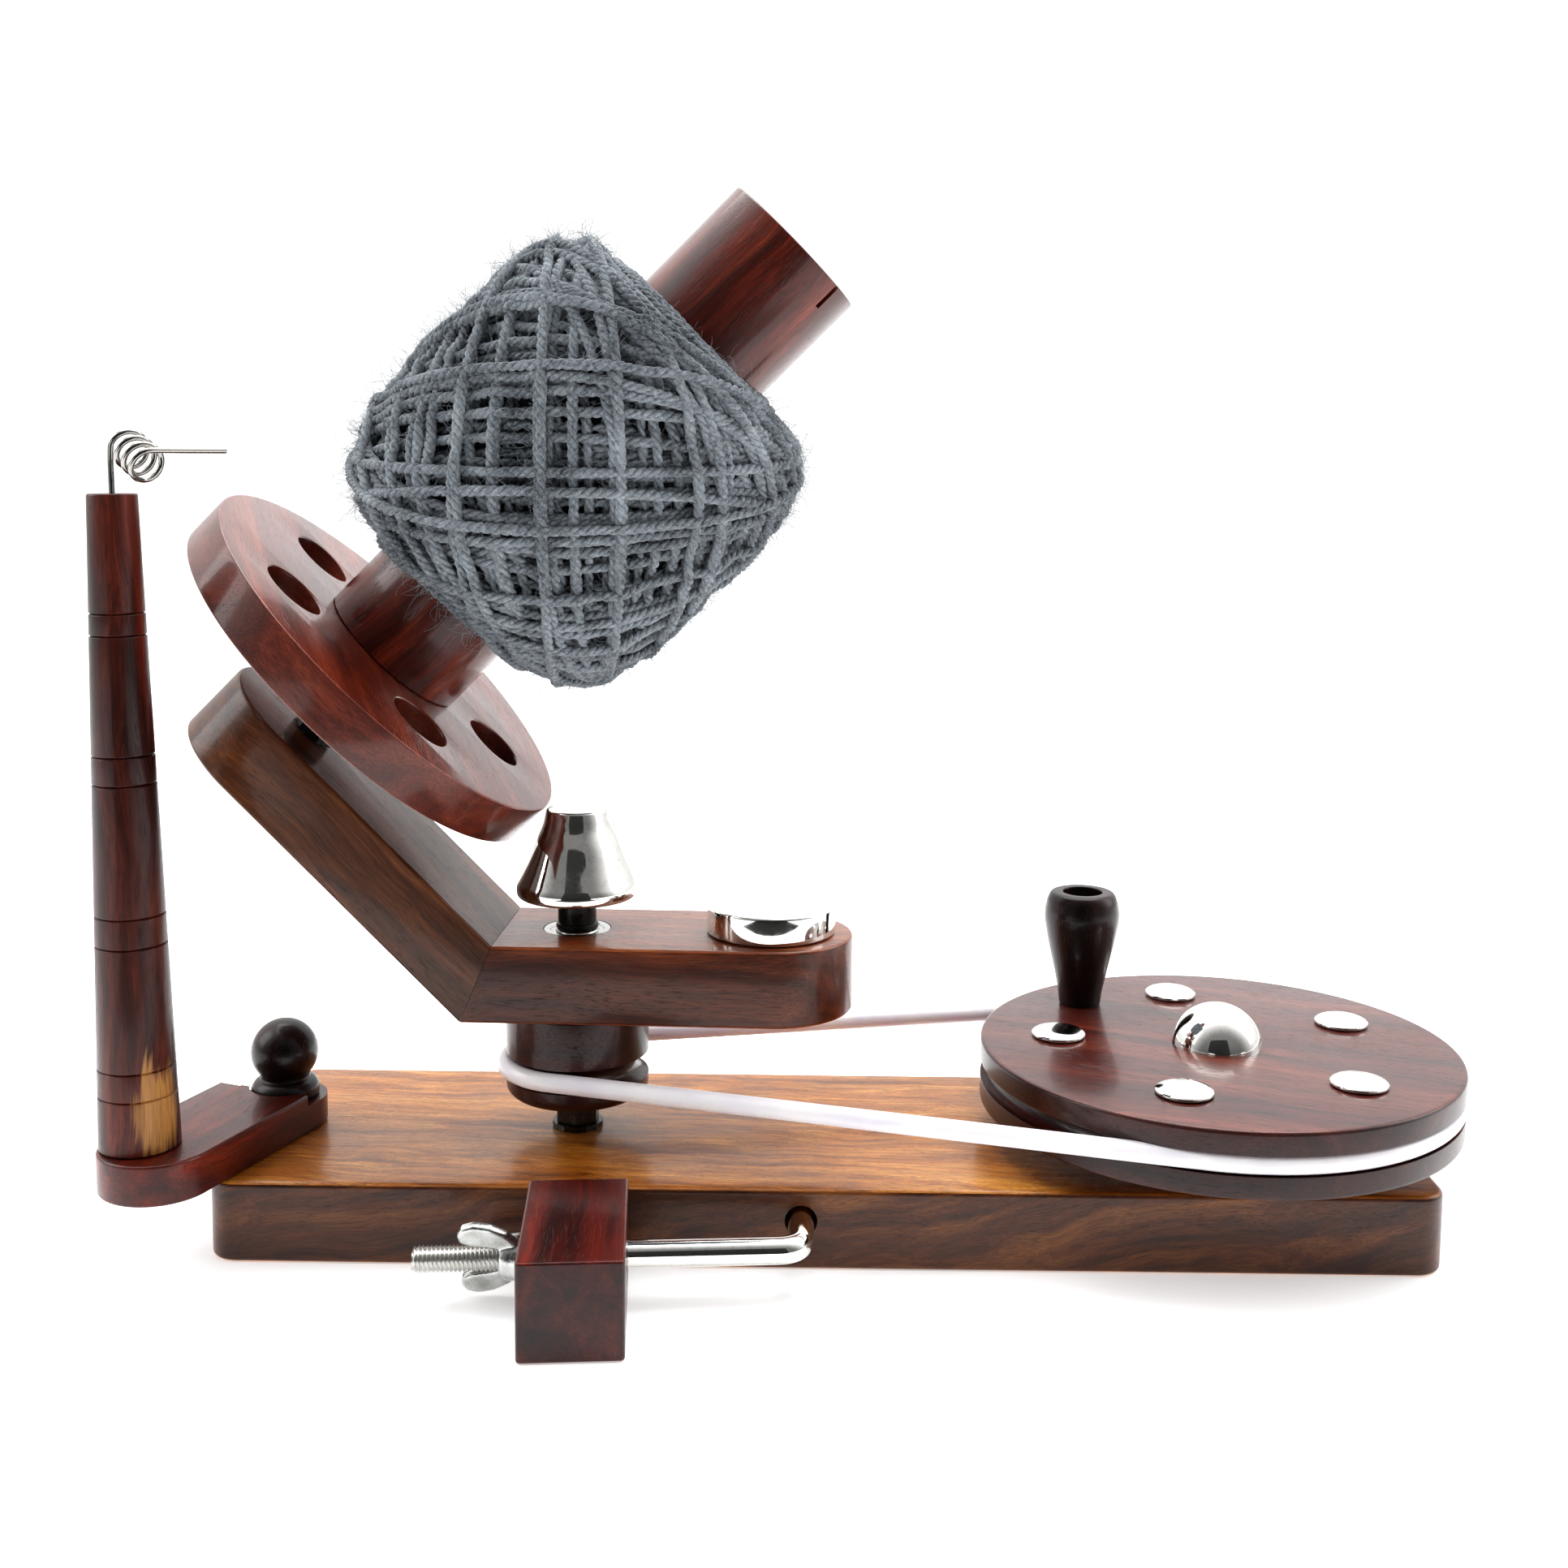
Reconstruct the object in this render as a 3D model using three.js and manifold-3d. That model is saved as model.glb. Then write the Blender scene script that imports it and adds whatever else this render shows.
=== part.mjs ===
// Hand-cranked ball winder, the wooden kind that stands on a table.
//
// A crank wheel drives a round belt, and the belt drives a small pulley under a bent arm. The arm
// swings round a fixed spindle and carries a bobbin that leans over at 45 degrees. The bobbin's
// disc rolls on a fixed chrome cone, so it also turns slowly about its own axis, and the yarn is
// laid in crossing turns into a cake. A post at the end of the base guides the yarn.
//
// Millimetres, +Z up. The origin is the centre of the base board's underside, +X runs along the
// board towards the crank wheel, and -Y is the side with the table clamp.

import * as THREE from 'three';
import { mergeVertices } from 'three/addons/utils/BufferGeometryUtils.js';
import Module from 'manifold-3d';

const wasm = await Module();
wasm.setup();

// ---- Driving dimensions ------------------------------------------------------------------------

const GAP = 0.3; // air left between touching pieces
const FINE = 32; // sides of the large turned pieces
const COARSE = 14; // sides of the small turned pieces and of the holes

const BASE_LENGTH = 381; // 15 inches
const BASE_WIDTH = 101.6; // 4 inches
const BASE_HEIGHT = 25.6;
const BASE_CORNER = 9;
const EDGE = 1; // eased edge of the wooden boards

const BOLT_R = 4; // M8 spindle, axle and bobbin bolt
const BOLT_HOLE_R = 4.35;
const BOLT_HEAD_R = 7.5;
const BOLT_HEAD_HEIGHT = 5.3;
const HEAD_RECESS_R = 9;
const HEAD_RECESS = 7;
const NUT_HEIGHT = 6.2;
const BEARING_R = 11; // 608 ball bearing, 22 x 8 x 7
const BEARING_WIDTH = 7;

const BELT_R = 3.1;
const GROOVE_R = 3.9; // clears the belt all round

const SPINDLE_X = -82;
const ARM_YAW = THREE.MathUtils.degToRad(-1.7); // where the arm stands at rest
const PULLEY_R = 23.5;
const PULLEY_BOTTOM = 37.5;
const PULLEY_BELT_Z = 48;

const ARM_THICKNESS = 25;
const ARM_WIDTH = 50.8; // 2 inches
const BAR_TOP = 92.85;
const BAR_BOTTOM = BAR_TOP - ARM_THICKNESS;
const BAR_REACH = 90.8; // from the spindle to the bar's round end
const INCLINE_TOP = 49; // the leaning board's faces, measured along the bobbin's axis
const INCLINE_REACH = 203; // from the spindle's foot, along the leaning board
const LEAN = Math.PI / 4;
const DOWEL_R = 4;
const DOWEL_LENGTH = 36;
const DOWEL_SPACING = 28;

const WEIGHT_X = 64;
const WEIGHT_R = 21.1;
const WEIGHT_HEIGHT = 9.3;
const WEIGHT_SCREW_R = 2.5;

const SLEEVE_R = 6.3;
const CONE_BOTTOM = 103.6;
const CONE_TOP = 133;
const CONE_TOP_R = 9.9;

const BOBBIN_U = 172.3; // the bobbin's axis, along the leaning board from the spindle's foot
const DISC_R = 71;
const DISC_BOTTOM = 73;
const DISC_TOP = 88;
const DISC_HOLE_R = 10.3;
const DISC_HOLE_CIRCLE = 44.5;
const DISC_HOLE_ANGLES = [-25, 46, 124, 190, 262]; // degrees, set out by hand
const TUBE_R = 25.4; // 2 inches across
const TUBE_BORE_R = 9;
const TUBE_END = 271;
const TUBE_SLIT_ANGLE = THREE.MathUtils.degToRad(-40);

const CAKE_BORE_R = 25.9;
const CAKE_BOTTOM = 111.5;
const CAKE_TOP = 232;
const CAKE_R = 60;

const WHEEL_X = 130;
const WHEEL_R = 77.8;
const WHEEL_BOTTOM = 35.3;
const WHEEL_TOP = 56.1;
const WHEEL_BELT_Z = 45.6;
const WHEEL_BELT_R = 75.2;
const DOME_R = 15;
const DOME_HEIGHT = 13.4;
const DOME_WALL = 1;
const STUD_CIRCLE = 52;
const STUD_ANGLES = [24, 95, 174, 246, 312]; // degrees, set out by hand
const STUD_R = 9;
const STUD_HEIGHT = 3;
const HANDLE_CIRCLE = 57;
const HANDLE_ANGLE = THREE.MathUtils.degToRad(133);
const HANDLE_HEIGHT = 40.5;
const HANDLE_BOLT_R = 3;

const KNOB_X = -179.5;
const KNOB_Y = -1;
const FOOT_TURN = THREE.MathUtils.degToRad(-110.4); // the foot's direction, from knob to post
const FOOT_THICKNESS = 12.7;
const FOOT_STEP = 9.1; // thickness of the tongue under the knob
const FOOT_HALF_WIDTH = 17.6;
const FOOT_MIDDLE_Y = -3.8; // the foot's centre line, beside the knob's axis
const FOOT_LENGTH = 57.3; // from the knob's axis to the centre of the foot's round end
const FOOT_SHOULDER = 6.3;
const TONGUE_R = 13.5;
const KNOB_BALL_R = 10.85;
const KNOB_BALL_Z = 50.1;
const KNOB_COLLAR_R = 11;
const KNOB_NECK_R = 7.8;
const STUD_ROD_R = 3;

const POST_ALONG = 59.6; // the post's axis on the foot
const POST_ACROSS = -8.3;
const POST_BOTTOM_R = 12;
const POST_TOP_R = 7.1;
const POST_RECESS_R = 4; // the shallow countersink round the wire
const POST_TOP = 235.3;
const POST_LEAN = THREE.MathUtils.degToRad(-0.6);
const POST_RINGS = [55.5, 64, 101.5, 110.5, 150, 158.5, 194, 200.5]; // heights of the cut rings
const POST_SCREW_R = 2.5;

const WIRE_R = 0.85;
const COIL_R = 5.1;
const COIL_PITCH = 4.9;
const COIL_TURNS = 3.25;
const COIL_Z = 248.9;
const COIL_TURN = -Math.PI / 4; // compass direction in which the coil grows
const COIL_DROP = THREE.MathUtils.degToRad(22);
const WIRE_TAIL = 22.3;
const WIRE_HOLE_R = 1.2;
const WIRE_HOLE_DEPTH = 14;

const ROD_X = -7.4; // the clamp rod's hole in the base's front face
const ROD_Z = 15.5;
const ROD_R = 4;
const ROD_HOLE_R = 5;
const ROD_DEPTH = 33;
const ROD_OFFSET = 70.2; // from the base's centre line to where the two legs would meet
const ROD_BEND = 7;
const ROD_LENGTH = 113;
const ROD_YAW = THREE.MathUtils.degToRad(4.6);
const BLOCK_SIZE = [30, 56, 28.9];
const BLOCK_ALONG = 66; // the block's centre along the rod's long leg
const BLOCK_OFFSET = -5.4;
const WING_NUT_TILT = THREE.MathUtils.degToRad(28);

// ---- Colours -----------------------------------------------------------------------------------

function finish(color, roughness, metalness = 0) {
  return new THREE.MeshStandardMaterial({ color, roughness, metalness });
}

const baseWood = finish(0xa9692c, 0.35);
const armWood = finish(0x5c3220, 0.35);
const discWood = finish(0x8c4331, 0.35);
const rosewood = finish(0x4a2320, 0.35);
const darkWood = finish(0x1f1414, 0.3);
const chrome = finish(0xd9dad8, 0.08, 1);
const steel = finish(0x9a9a98, 0.3, 1);
const blackSteel = finish(0x1a1a1a, 0.4, 0.8);
const beltPlastic = finish(0xe8eaf2, 0.3);
const wool = finish(0x6f7880, 0.95);

// ---- Solids ------------------------------------------------------------------------------------

// Merges a geometry's shared points, drops its flat triangles and turns it to face outwards.
function tidy(geometry) {
  const bare = geometry.clone();
  bare.deleteAttribute('normal');
  bare.deleteAttribute('uv');
  const merged = mergeVertices(bare, 1e-4);
  const points = merged.getAttribute('position');
  const corners = [0, 1, 2].map(() => new THREE.Vector3());
  const kept = [];
  let volume = 0;
  for (let i = 0; i < merged.index.count; i += 3) {
    const [a, b, c] = [0, 1, 2].map((k) => merged.index.getX(i + k));
    if (a === b || b === c || c === a) continue;
    [a, b, c].forEach((index, k) => corners[k].fromBufferAttribute(points, index));
    volume += corners[0].dot(corners[1].clone().cross(corners[2]));
    kept.push(a, b, c);
  }
  if (volume < 0) {
    kept.reverse();
  }
  merged.setIndex(kept);
  return merged;
}

function toSolid(geometry) {
  const closed = tidy(geometry);
  return new wasm.Manifold(
    new wasm.Mesh({
      numProp: 3,
      vertProperties: new Float32Array(closed.getAttribute('position').array),
      triVerts: new Uint32Array(closed.index.array),
    }),
  );
}

function toGeometry(solid) {
  const mesh = solid.getMesh();
  const geometry = new THREE.BufferGeometry();
  geometry.setAttribute('position', new THREE.BufferAttribute(mesh.vertProperties, 3));
  geometry.setIndex(new THREE.BufferAttribute(mesh.triVerts, 1));
  return geometry;
}

// A body with holes: every cutter is taken out of it.
function cut(body, ...cutters) {
  return toGeometry(cutters.reduce((left, cutter) => left.subtract(toSolid(cutter)), toSolid(body)));
}

function join(...pieces) {
  const [first, ...rest] = pieces.map(toSolid);
  return toGeometry(rest.reduce((whole, piece) => whole.add(piece), first));
}

// Turns a closed outline of [radius, height] points about the Z axis.
function turned(outline, sides = COARSE) {
  const points = outline.map(([radius, height]) => new THREE.Vector2(radius, height));
  return tidy(new THREE.LatheGeometry(points, sides).rotateX(Math.PI / 2));
}

function cylinder(radius, bottom, top, sides = COARSE) {
  return turned([[0, bottom], [radius, bottom], [radius, top], [0, top]], sides);
}

// A cutter for a round hole: its flats, not its corners, lie on the circle.
function hole(radius, bottom, top, sides = COARSE) {
  return cylinder(radius / Math.cos(Math.PI / sides), bottom, top, sides);
}

function ring(outer, inner, bottom, top, sides = COARSE) {
  return turned([[inner, bottom], [outer, bottom], [outer, top], [inner, top], [inner, bottom]], sides);
}

function box(lengthX, lengthY, lengthZ, x = 0, y = 0, z = 0) {
  return new THREE.BoxGeometry(lengthX, lengthY, lengthZ).translate(x, y, z);
}

// A board cut to a flat outline, with its edges eased.
function board(shape, bottom, thickness, ease = EDGE) {
  const geometry = new THREE.ExtrudeGeometry(shape, {
    depth: thickness - 2 * ease,
    bevelThickness: ease,
    bevelSize: ease,
    bevelOffset: -ease,
    bevelSegments: 1,
    curveSegments: 5,
  });
  return geometry.translate(0, 0, bottom + ease);
}

// A round bar of constant thickness along a curve.
function bar(curve, radius, steps, sides) {
  const section = new THREE.Shape();
  for (let i = 0; i < sides; i += 1) {
    const angle = (2 * Math.PI * i) / sides;
    section[i ? 'lineTo' : 'moveTo'](radius * Math.cos(angle), radius * Math.sin(angle));
  }
  return tidy(new THREE.ExtrudeGeometry(section, { steps, bevelEnabled: false, extrudePath: curve }));
}

function polar(radius, angle) {
  return [radius * Math.cos(angle), radius * Math.sin(angle)];
}

function piece(name, geometry, material, parent) {
  const mesh = new THREE.Mesh(geometry, material);
  mesh.name = name;
  parent.add(mesh);
  return mesh;
}

function frameAt(parent, x, y, z) {
  const frame = new THREE.Group();
  frame.position.set(x, y, z);
  parent.add(frame);
  return frame;
}

function hexBolt(headBottom, tip) {
  const head = cylinder(BOLT_HEAD_R, headBottom, headBottom + BOLT_HEAD_HEIGHT, 6);
  return join(head, cylinder(BOLT_R, headBottom + 1, tip));
}

function hexNut(bottom, height = NUT_HEIGHT, radius = BOLT_HEAD_R, holeRadius = BOLT_HOLE_R) {
  const blank = cylinder(radius, bottom, bottom + height, 6);
  return cut(blank, hole(holeRadius, bottom - 1, bottom + height + 1));
}

function bearing(bottom) {
  return ring(BEARING_R, BOLT_HOLE_R, bottom, bottom + BEARING_WIDTH);
}

function bearingSeat(bottom) {
  return hole(BEARING_R + GAP, bottom, bottom + BEARING_WIDTH + 2 * GAP);
}

const winder = new THREE.Group();

// ---- Base board --------------------------------------------------------------------------------

function roundedRectangle(length, width, corner) {
  const shape = new THREE.Shape();
  const x = length / 2 - corner;
  const y = width / 2 - corner;
  shape.absarc(x, y, corner, 0, Math.PI / 2);
  shape.absarc(-x, y, corner, Math.PI / 2, Math.PI);
  shape.absarc(-x, -y, corner, Math.PI, 1.5 * Math.PI);
  shape.absarc(x, -y, corner, 1.5 * Math.PI, 2 * Math.PI);
  return shape;
}

const STUD_ROD_BOTTOM = 8;

function makeBase() {
  const cutters = [SPINDLE_X, WHEEL_X].flatMap((x) => [
    hole(BOLT_HOLE_R, -1, BASE_HEIGHT + 1).translate(x, 0, 0),
    hole(HEAD_RECESS_R, -1, HEAD_RECESS).translate(x, 0, 0),
  ]);
  const studHole = hole(STUD_ROD_R + GAP, STUD_ROD_BOTTOM - GAP, BASE_HEIGHT + 1);
  const rodHole = hole(ROD_HOLE_R, -1, ROD_DEPTH + 2).rotateX(-Math.PI / 2);
  cutters.push(studHole.translate(KNOB_X, KNOB_Y, 0));
  cutters.push(rodHole.translate(ROD_X, -BASE_WIDTH / 2, ROD_Z));
  const blank = board(roundedRectangle(BASE_LENGTH, BASE_WIDTH, BASE_CORNER), 0, BASE_HEIGHT);
  piece('base_board', cut(blank, ...cutters), baseWood, winder);
}

// ---- Fixed spindle: bolt, nut, sleeve and friction cone ------------------------------------------

const HEAD_BOTTOM = 1.2;
const WASHER_BOTTOM = BASE_HEIGHT + GAP;
const WASHER_THICKNESS = 1.6;
const SPINDLE_NUT_BOTTOM = WASHER_BOTTOM + WASHER_THICKNESS + GAP;
const SPINDLE_TIP = 126;
const SLEEVE_TOP = 106.5;
const CONE_HOLLOW = 107;

function makeSpindle() {
  const frame = frameAt(winder, SPINDLE_X, 0, 0);
  const nutHeight = PULLEY_BOTTOM - GAP - SPINDLE_NUT_BOTTOM;
  piece('spindle_bolt', hexBolt(HEAD_BOTTOM, SPINDLE_TIP), steel, frame);
  const washer = ring(8.4, BOLT_HOLE_R, WASHER_BOTTOM, WASHER_BOTTOM + WASHER_THICKNESS);
  piece('spindle_washer', washer, steel, frame);
  piece('spindle_nut', hexNut(SPINDLE_NUT_BOTTOM, nutHeight), steel, frame);
  const sleeveBottom = BAR_TOP + GAP;
  const sleeve = turned([
    [BOLT_HOLE_R, sleeveBottom],
    [SLEEVE_R + 0.5, sleeveBottom],
    [SLEEVE_R + 0.5, sleeveBottom + 1.5],
    [SLEEVE_R, sleeveBottom + 1.5],
    [SLEEVE_R, SLEEVE_TOP],
    [BOLT_HOLE_R, SLEEVE_TOP],
    [BOLT_HOLE_R, sleeveBottom],
  ]);
  piece('spacer_sleeve', sleeve, blackSteel, frame);
  const cone = turned([
    [0, CONE_TOP],
    [CONE_TOP_R - 0.5, CONE_TOP],
    [CONE_TOP_R, CONE_TOP - 0.5],
    [11.2, 127.5],
    [13.6, 122.5],
    [16.2, 116],
    [18.4, 111],
    [20, 107.4],
    [19.6, 104.6],
    [18, CONE_BOTTOM],
    [12, CONE_BOTTOM],
    [10, CONE_HOLLOW],
    [BOLT_HOLE_R, CONE_HOLLOW],
    [BOLT_HOLE_R, SPINDLE_TIP + GAP],
    [0, SPINDLE_TIP + GAP],
  ], FINE);
  piece('friction_cone', cone, chrome, frame);
}

// ---- Winding arm -------------------------------------------------------------------------------

const ARM_HALF = ARM_WIDTH / 2;
const INCLINE_BOTTOM = INCLINE_TOP - ARM_THICKNESS;
const MITRE_X = INCLINE_TOP * Math.SQRT2 - BAR_TOP; // where the two top faces meet
const MITRE_MIDDLE_X = MITRE_X - (Math.tan(LEAN / 2) * ARM_THICKNESS) / 2;
const MITRE_MIDDLE_Z = (BAR_TOP + BAR_BOTTOM) / 2;
const SCREW_HEAD_R = 4.7;
const FAR = 400; // longer than any piece

// Half of space beyond the mitre between the two boards, on the bar's side or the leaning board's.
function mitreCutter(side) {
  const block = box(FAR, FAR, FAR, side * (FAR / 2 - GAP / 2), 0, 0);
  return block.rotateY(LEAN / 2).translate(MITRE_MIDDLE_X, 0, MITRE_MIDDLE_Z);
}

function dowel(radius, length, y) {
  const rod = cylinder(radius, -length / 2, length / 2).rotateY(Math.PI / 2 + LEAN / 2);
  return rod.translate(MITRE_MIDDLE_X, y, MITRE_MIDDLE_Z);
}

// A flat outline with one round end, from its start to its reach along +X or -X.
function roundEnded(start, reach) {
  const shape = new THREE.Shape();
  const side = Math.sign(reach);
  const centre = reach - side * ARM_HALF;
  const from = (-side * Math.PI) / 2;
  shape.moveTo(start, -side * ARM_HALF);
  shape.lineTo(centre, -side * ARM_HALF);
  shape.absarc(centre, 0, ARM_HALF, from, from + Math.PI);
  shape.lineTo(start, side * ARM_HALF);
  return shape;
}

function turnIntoLean(geometry) {
  return geometry.rotateY(LEAN);
}

function makeArm() {
  const arm = frameAt(winder, SPINDLE_X, 0, 0);
  arm.rotation.z = ARM_YAW;
  const dowelSides = { mitre_dowel_front: -1, mitre_dowel_rear: 1 };
  const dowelHoles = Object.values(dowelSides).map((side) =>
    dowel(DOWEL_R + GAP, DOWEL_LENGTH + 2 * GAP, (side * DOWEL_SPACING) / 2),
  );

  const pulley = turned([
    [BOLT_R + 1, PULLEY_BOTTOM],
    [PULLEY_R - 2.5, PULLEY_BOTTOM],
    [PULLEY_R, PULLEY_BOTTOM + 2.5],
    [PULLEY_R, BAR_BOTTOM - GAP],
    [BOLT_R + 1, BAR_BOTTOM - GAP],
    [BOLT_R + 1, PULLEY_BOTTOM],
  ], FINE);
  const pulleyGroove = groove(PULLEY_R, PULLEY_BELT_Z);
  const pulleyBody = cut(pulley, bearingSeat(PULLEY_BOTTOM - GAP), pulleyGroove);
  piece('drive_pulley', pulleyBody, rosewood, arm);
  piece('pulley_bearing', bearing(PULLEY_BOTTOM), steel, arm);

  const screwHead = hole(SCREW_HEAD_R + GAP, BAR_BOTTOM - 1, BAR_BOTTOM + 5);
  const screwHole = hole(WEIGHT_SCREW_R + GAP, BAR_BOTTOM, BAR_TOP + 1);
  const barHoles = [
    bearingSeat(BAR_TOP - BEARING_WIDTH - GAP),
    hole(BOLT_R + 1, BAR_BOTTOM - 1, BAR_TOP + 1),
    screwHead.translate(WEIGHT_X, 0, 0),
    screwHole.translate(WEIGHT_X, 0, 0),
    mitreCutter(-1),
    ...dowelHoles,
  ];
  const barBlank = board(roundEnded(-ARM_WIDTH, BAR_REACH), BAR_BOTTOM, ARM_THICKNESS);
  piece('yoke_bar', cut(barBlank, ...barHoles), armWood, arm);
  piece('arm_bearing', bearing(BAR_TOP - BEARING_WIDTH), steel, arm);

  const inclineBlank = board(roundEnded(0, -INCLINE_REACH), INCLINE_BOTTOM, ARM_THICKNESS);
  const inclineHoles = [
    hole(BOLT_HOLE_R, INCLINE_BOTTOM - 1, INCLINE_TOP + 1),
    hole(HEAD_RECESS_R, INCLINE_BOTTOM - 1, INCLINE_BOTTOM + HEAD_RECESS),
  ].map((cutter) => turnIntoLean(cutter.translate(-BOBBIN_U, 0, 0)));
  const incline = cut(turnIntoLean(inclineBlank), ...inclineHoles, mitreCutter(1), ...dowelHoles);
  piece('leaning_board', incline, armWood, arm);
  for (const [name, side] of Object.entries(dowelSides)) {
    piece(name, dowel(DOWEL_R, DOWEL_LENGTH, (side * DOWEL_SPACING) / 2), darkWood, arm);
  }

  makeCounterweight(frameAt(arm, WEIGHT_X, 0, 0));

  const lean = frameAt(arm, 0, 0, 0);
  lean.rotation.y = LEAN;
  makeBobbin(frameAt(lean, -BOBBIN_U, 0, 0));
}

// The belt's round groove, to be cut from a rim.
function groove(radius, z) {
  const outline = [];
  const steps = 6;
  for (let i = 0; i <= steps; i += 1) {
    const angle = Math.PI / 2 + (Math.PI * i) / steps;
    outline.push([radius + GROOVE_R * Math.cos(angle), z + GROOVE_R * Math.sin(angle)]);
  }
  const outside = radius + 2 * GROOVE_R;
  return turned([...outline, [outside, z - GROOVE_R], [outside, z + GROOVE_R], outline[0]], FINE);
}

function makeCounterweight(frame) {
  const bottom = BAR_TOP + GAP;
  const top = bottom + WEIGHT_HEIGHT;
  const weight = turned([
    [0, top],
    [WEIGHT_R - EDGE, top],
    [WEIGHT_R, top - EDGE],
    [WEIGHT_R, bottom + EDGE],
    [WEIGHT_R - EDGE, bottom],
    [0, bottom],
  ], FINE);
  const screwTip = top - 3;
  const tapped = cut(weight, hole(WEIGHT_SCREW_R + GAP, bottom - 1, screwTip + GAP));
  piece('counterweight', tapped, chrome, frame);
  const headBottom = BAR_BOTTOM + 1;
  const head = cylinder(SCREW_HEAD_R, headBottom, headBottom + 3.5);
  const screw = join(head, cylinder(WEIGHT_SCREW_R, headBottom, screwTip));
  piece('counterweight_screw', screw, steel, frame);
}

// ---- Bobbin and yarn cake ----------------------------------------------------------------------

const JAM_NUT_BOTTOM = INCLINE_TOP + GAP;
const JAM_NUT_HEIGHT = 8;
const JAM_WASHER_R = 8.5;
const JAM_WASHER_BOTTOM = JAM_NUT_BOTTOM + JAM_NUT_HEIGHT + GAP;
const JAM_WASHER_TOP = JAM_WASHER_BOTTOM + 3;
const BUSH_BOTTOM = JAM_WASHER_TOP + GAP;
const TOP_BEARING_BOTTOM = 250;
const END_NUT_BOTTOM = TOP_BEARING_BOTTOM + BEARING_WIDTH + GAP;
const END_CAP_R = 16.2;
const END_CAP_BOTTOM = 267;
const BOBBIN_TIP = 265;

// The frame stands on the bobbin's axis with +Z along it.
function makeBobbin(frame) {
  piece('bobbin_spindle', hexBolt(INCLINE_BOTTOM + HEAD_BOTTOM, BOBBIN_TIP), steel, frame);
  piece('bobbin_jam_nut', hexNut(JAM_NUT_BOTTOM, JAM_NUT_HEIGHT), blackSteel, frame);
  const washer = ring(JAM_WASHER_R, BOLT_HOLE_R, JAM_WASHER_BOTTOM, JAM_WASHER_TOP);
  piece('bobbin_washer', washer, chrome, frame);
  const bush = ring(SLEEVE_R, BOLT_HOLE_R, BUSH_BOTTOM, DISC_BOTTOM - GAP);
  piece('bobbin_bush', bush, blackSteel, frame);

  const discEase = 2;
  const disc = turned([
    [BOLT_R + 1, DISC_BOTTOM],
    [DISC_R - 2 * discEase, DISC_BOTTOM],
    [DISC_R - discEase / 2, DISC_BOTTOM + discEase],
    [DISC_R, DISC_BOTTOM + 2 * discEase],
    [DISC_R, DISC_TOP - EDGE / 2],
    [DISC_R - EDGE / 2, DISC_TOP],
    [BOLT_R + 1, DISC_TOP],
    [BOLT_R + 1, DISC_BOTTOM],
  ], FINE);
  const holes = DISC_HOLE_ANGLES.map((angle) => {
    const [x, y] = polar(DISC_HOLE_CIRCLE, Math.PI + THREE.MathUtils.degToRad(angle));
    return hole(DISC_HOLE_R, DISC_BOTTOM - 1, DISC_TOP + 1).translate(x, y, 0);
  });
  piece('bobbin_disc', cut(disc, bearingSeat(DISC_BOTTOM - GAP), ...holes), discWood, frame);
  piece('disc_bearing', bearing(DISC_BOTTOM + GAP), steel, frame);

  const tubeBottom = DISC_TOP + GAP;
  const tube = turned([
    [TUBE_BORE_R, tubeBottom],
    [TUBE_R, tubeBottom],
    [TUBE_R, TUBE_END - EDGE / 2],
    [TUBE_R - EDGE / 2, TUBE_END],
    [END_CAP_R + GAP, TUBE_END],
    [END_CAP_R + GAP, END_CAP_BOTTOM - GAP],
    [BEARING_R + GAP, END_CAP_BOTTOM - GAP],
    [BEARING_R + GAP, TOP_BEARING_BOTTOM - GAP],
    [TUBE_BORE_R, TOP_BEARING_BOTTOM - GAP],
    [TUBE_BORE_R, tubeBottom],
  ], FINE);
  const slitDepth = 9;
  const slit = box(TUBE_R, 1.6, 2 * slitDepth, END_CAP_R + 2 + TUBE_R / 2, 0, TUBE_END);
  piece('bobbin_tube', cut(tube, slit.rotateZ(TUBE_SLIT_ANGLE)), rosewood, frame);
  piece('tube_bearing', bearing(TOP_BEARING_BOTTOM), steel, frame);
  piece('bobbin_end_nut', hexNut(END_NUT_BOTTOM), steel, frame);
  const cap = turned([
    [0, TUBE_END + 1],
    [END_CAP_R * 0.7, TUBE_END + 0.6],
    [END_CAP_R, TUBE_END - 0.4],
    [END_CAP_R, END_CAP_BOTTOM],
    [0, END_CAP_BOTTOM],
  ]);
  piece('tube_end_cap', cap, blackSteel, frame);

  const cake = turned([
    [CAKE_BORE_R, CAKE_BOTTOM + 2],
    [36, CAKE_BOTTOM],
    [47, CAKE_BOTTOM + 4],
    [54.5, CAKE_BOTTOM + 12],
    [58.8, CAKE_BOTTOM + 28],
    [CAKE_R, (CAKE_BOTTOM + CAKE_TOP) / 2],
    [59.2, CAKE_TOP - 30],
    [55.5, CAKE_TOP - 13],
    [48, CAKE_TOP - 4],
    [37, CAKE_TOP],
    [CAKE_BORE_R, CAKE_TOP - 2],
    [CAKE_BORE_R, CAKE_BOTTOM + 2],
  ], FINE);
  piece('yarn_cake', cake, wool, frame);
}

// ---- Crank wheel -------------------------------------------------------------------------------

const WHEEL_BEARING_BOTTOM = WHEEL_BOTTOM;
const CAP_RECESS = 1.5;
const TOP_WHEEL_BEARING = WHEEL_TOP - CAP_RECESS - BEARING_WIDTH - 2 * GAP;
const AXLE_NUT_BOTTOM = WHEEL_TOP;
const STEM_R = 3;
const STEM_LENGTH = 8;
const HANDLE_NUT_HEIGHT = 4;
const HANDLE_RECESS_R = 6.8;
const HANDLE_RECESS = 9;

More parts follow.
